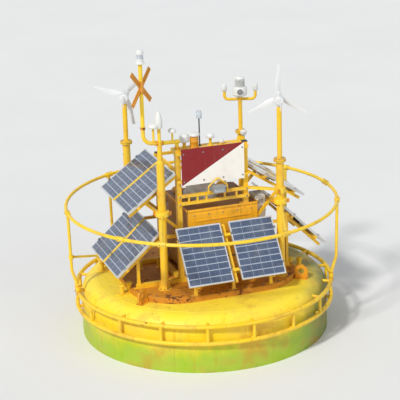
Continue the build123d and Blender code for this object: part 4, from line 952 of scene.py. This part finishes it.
# Columns: side, place of the yaw axis at shaft height, phase of the first blade.
turbines = (("right", (*right_pole, 3.46), 93.0), ("left", (*left_pole, 3.32), 16.0))
for side, hub, phase in turbines:
    hub, nacelle, rotor = Vector(hub), f"{side}_nacelle", f"{side}_rotor"
    parts = [moved(band(60.5, 65, width, 32), at(0, 0, along)) for width, along in ((10, -0.03), (16, 0.105))]
    parts += [moved(plate(((60, 0), (72, 8), (72, 78), (60, 86)), 3), at(turn=30 * step))
              for step in range(7)]
    parts += bolts(5, [((0, face * 0.004, -0.053 - along), (0, face, 0)) for along in (0.1, 0.16, 0.22)
                       for face in (-1, 1)])
    put(joined(parts), [axes_at(hub, UP, shaft.cross(UP) * -1, shaft)], f"{nacelle}_fins", "blade",
        body=nacelle)
    cone = turned(((0, 205), (59.2, 205), (60, 210), (60, 217), (56, 236), (45, 255), (27, 270), (10, 276.5),
                   (0, 277.5)), 36)
    put(cone, [facing(hub, shaft)], f"{side}_spinner", "blade", body=rotor)
    cuff = turned(((0, 46), (33, 46), (34, 58), (31, 70), (24, 80), (0, 82)), 24)
    cuffs = []
    for angle in [radians(phase + 120 * step) for step in range(3)]:
        outward = blade_flat * cos(angle) + UP * sin(angle)
        cuffs.append(axes_at(hub + shaft * 0.18, outward.cross(shaft), shaft * 0.62, outward))
    put(cuff, cuffs, f"{side}_blade_cuffs", "blade", body=rotor)

# Doors: escutcheons, louvres and rubber seals.
for side, low_x, high_x, handle_x in (("left", -0.378, 0.143, 0.083), ("right", 0.147, 0.668, 0.207)):
    door = f"cabin_door_{side}"
    put(turned(((6.5, 0), (18, 0), (18, 3), (11, 7), (6.5, 7), (6.5, 0)), 18),
        [facing((handle_x, 0.5355, 1.44 + lift), (0, 1, 0)) for lift in (-0.056, 0.056)],
        f"door_{side}_washers", "steel", body=door)
    louvres(f"door_{side}_louvres", [at((low_x + high_x) / 2, 0.542, 1.06, -90)], door)
    left, right, bottom, top, wide = low_x + 0.01, high_x - 0.01, 0.956, 1.924, 0.014
    # Columns: low x, low z, high x, high z.
    strips = ((left, bottom, left + wide, top), (right - wide, bottom, right, top),
              (left, bottom, right, bottom + wide), (left, top - wide, right, top))
    join([block((x, 0.5012, z), (far_x, 0.5042, far_z), 0.0012) for x, z, far_x, far_z in strips],
         f"door_{side}_seal", "rubber", body=door)

# Tubes that carry the modules' cables along the racks.
cable_tubes = []
for array in arrays:
    middle, half = module_place(*array, 0), (module_width + module_gap[array[0]]) / 2
    points = [middle @ Vector((across, 0.5 * module_length - 0.03, depth)) for across, depth in
              ((0.05 - half, -0.01), (0.12 - half, -0.06), (half - 0.12, -0.06), (half - 0.05, -0.01))]
    cable_tubes.append(tube(points, 0.009, 0.03))
join(cable_tubes, "module_conduits", "rubber")


# Camera, floor and light.

def outwards(azimuth, elevation):
    """Direction to a viewer or lamp; azimuth 0 stands in front of the buoy."""
    azimuth, elevation = radians(azimuth), radians(elevation)
    return Vector((sin(azimuth) * cos(elevation), -cos(azimuth) * cos(elevation), sin(elevation)))


eye, aim, roll = UP + outwards(-19.0, 20.5) * 21.3, Vector((-0.02, 0, 1.9)), radians(1.8)
back = (eye - aim).normalized()
right = UP.cross(back).normalized()
up = back.cross(right)
camera = bpy.data.objects.new("camera", bpy.data.cameras.new("camera"))
bpy.context.scene.collection.objects.link(camera)
camera.matrix_world = axes_at(eye, right * cos(roll) - up * sin(roll), right * sin(roll) + up * cos(roll),
                              back)
camera.data.lens = 131.0
camera.data.sensor_width = 36.0
camera.data.clip_end = 400.0
bpy.context.scene.camera = camera

deselect()
bpy.ops.mesh.primitive_plane_add(size=180, location=(0, 0, 0))
floor = name_piece("floor")
floor_look, net, shader, place = new_material("pale_floor")
net.link(shader, {"Base Color": net.mix(net.noise(place, 0.4, 2.0), tint(230, 232, 234), tint(237, 239, 241)),
                  "Roughness": 0.9})
floor.data.materials.append(floor_look)

world = bpy.data.worlds.new("pale_sky")
bpy.context.scene.world = world
world.use_nodes = True
sky = Net(world.node_tree)
rays = sky.add("LightPath")
seen = sky.math("MAXIMUM", rays["Is Camera Ray"], rays["Is Glossy Ray"])
seen = sky.math("MAXIMUM", seen, rays["Is Transmission Ray"])
sky.link(sky.tree.nodes["Background"], {"Color": (0.93, 0.95, 0.97, 1),
                                        "Strength": sky.plus(sky.times(seen, 0.42), 0.44)})


def add_sun(name, azimuth, height, strength, spread, colour):
    """A distant soft lamp, named by where it stands."""
    lamp = bpy.data.lights.new(name, "SUN")
    lamp.energy = strength
    lamp.angle = radians(spread)
    lamp.color = colour
    holder = bpy.data.objects.new(name, lamp)
    bpy.context.scene.collection.objects.link(holder)
    holder.matrix_world = facing((0, 0, 8), outwards(azimuth, height))


add_sun("key_lamp", -55, 43, 2.4, 7, (1.0, 0.97, 0.92))
add_sun("fill_lamp", 25, 20, 0.4, 40, (0.95, 0.97, 1.0))

scene = bpy.context.scene
scene.view_settings.view_transform = "Standard"
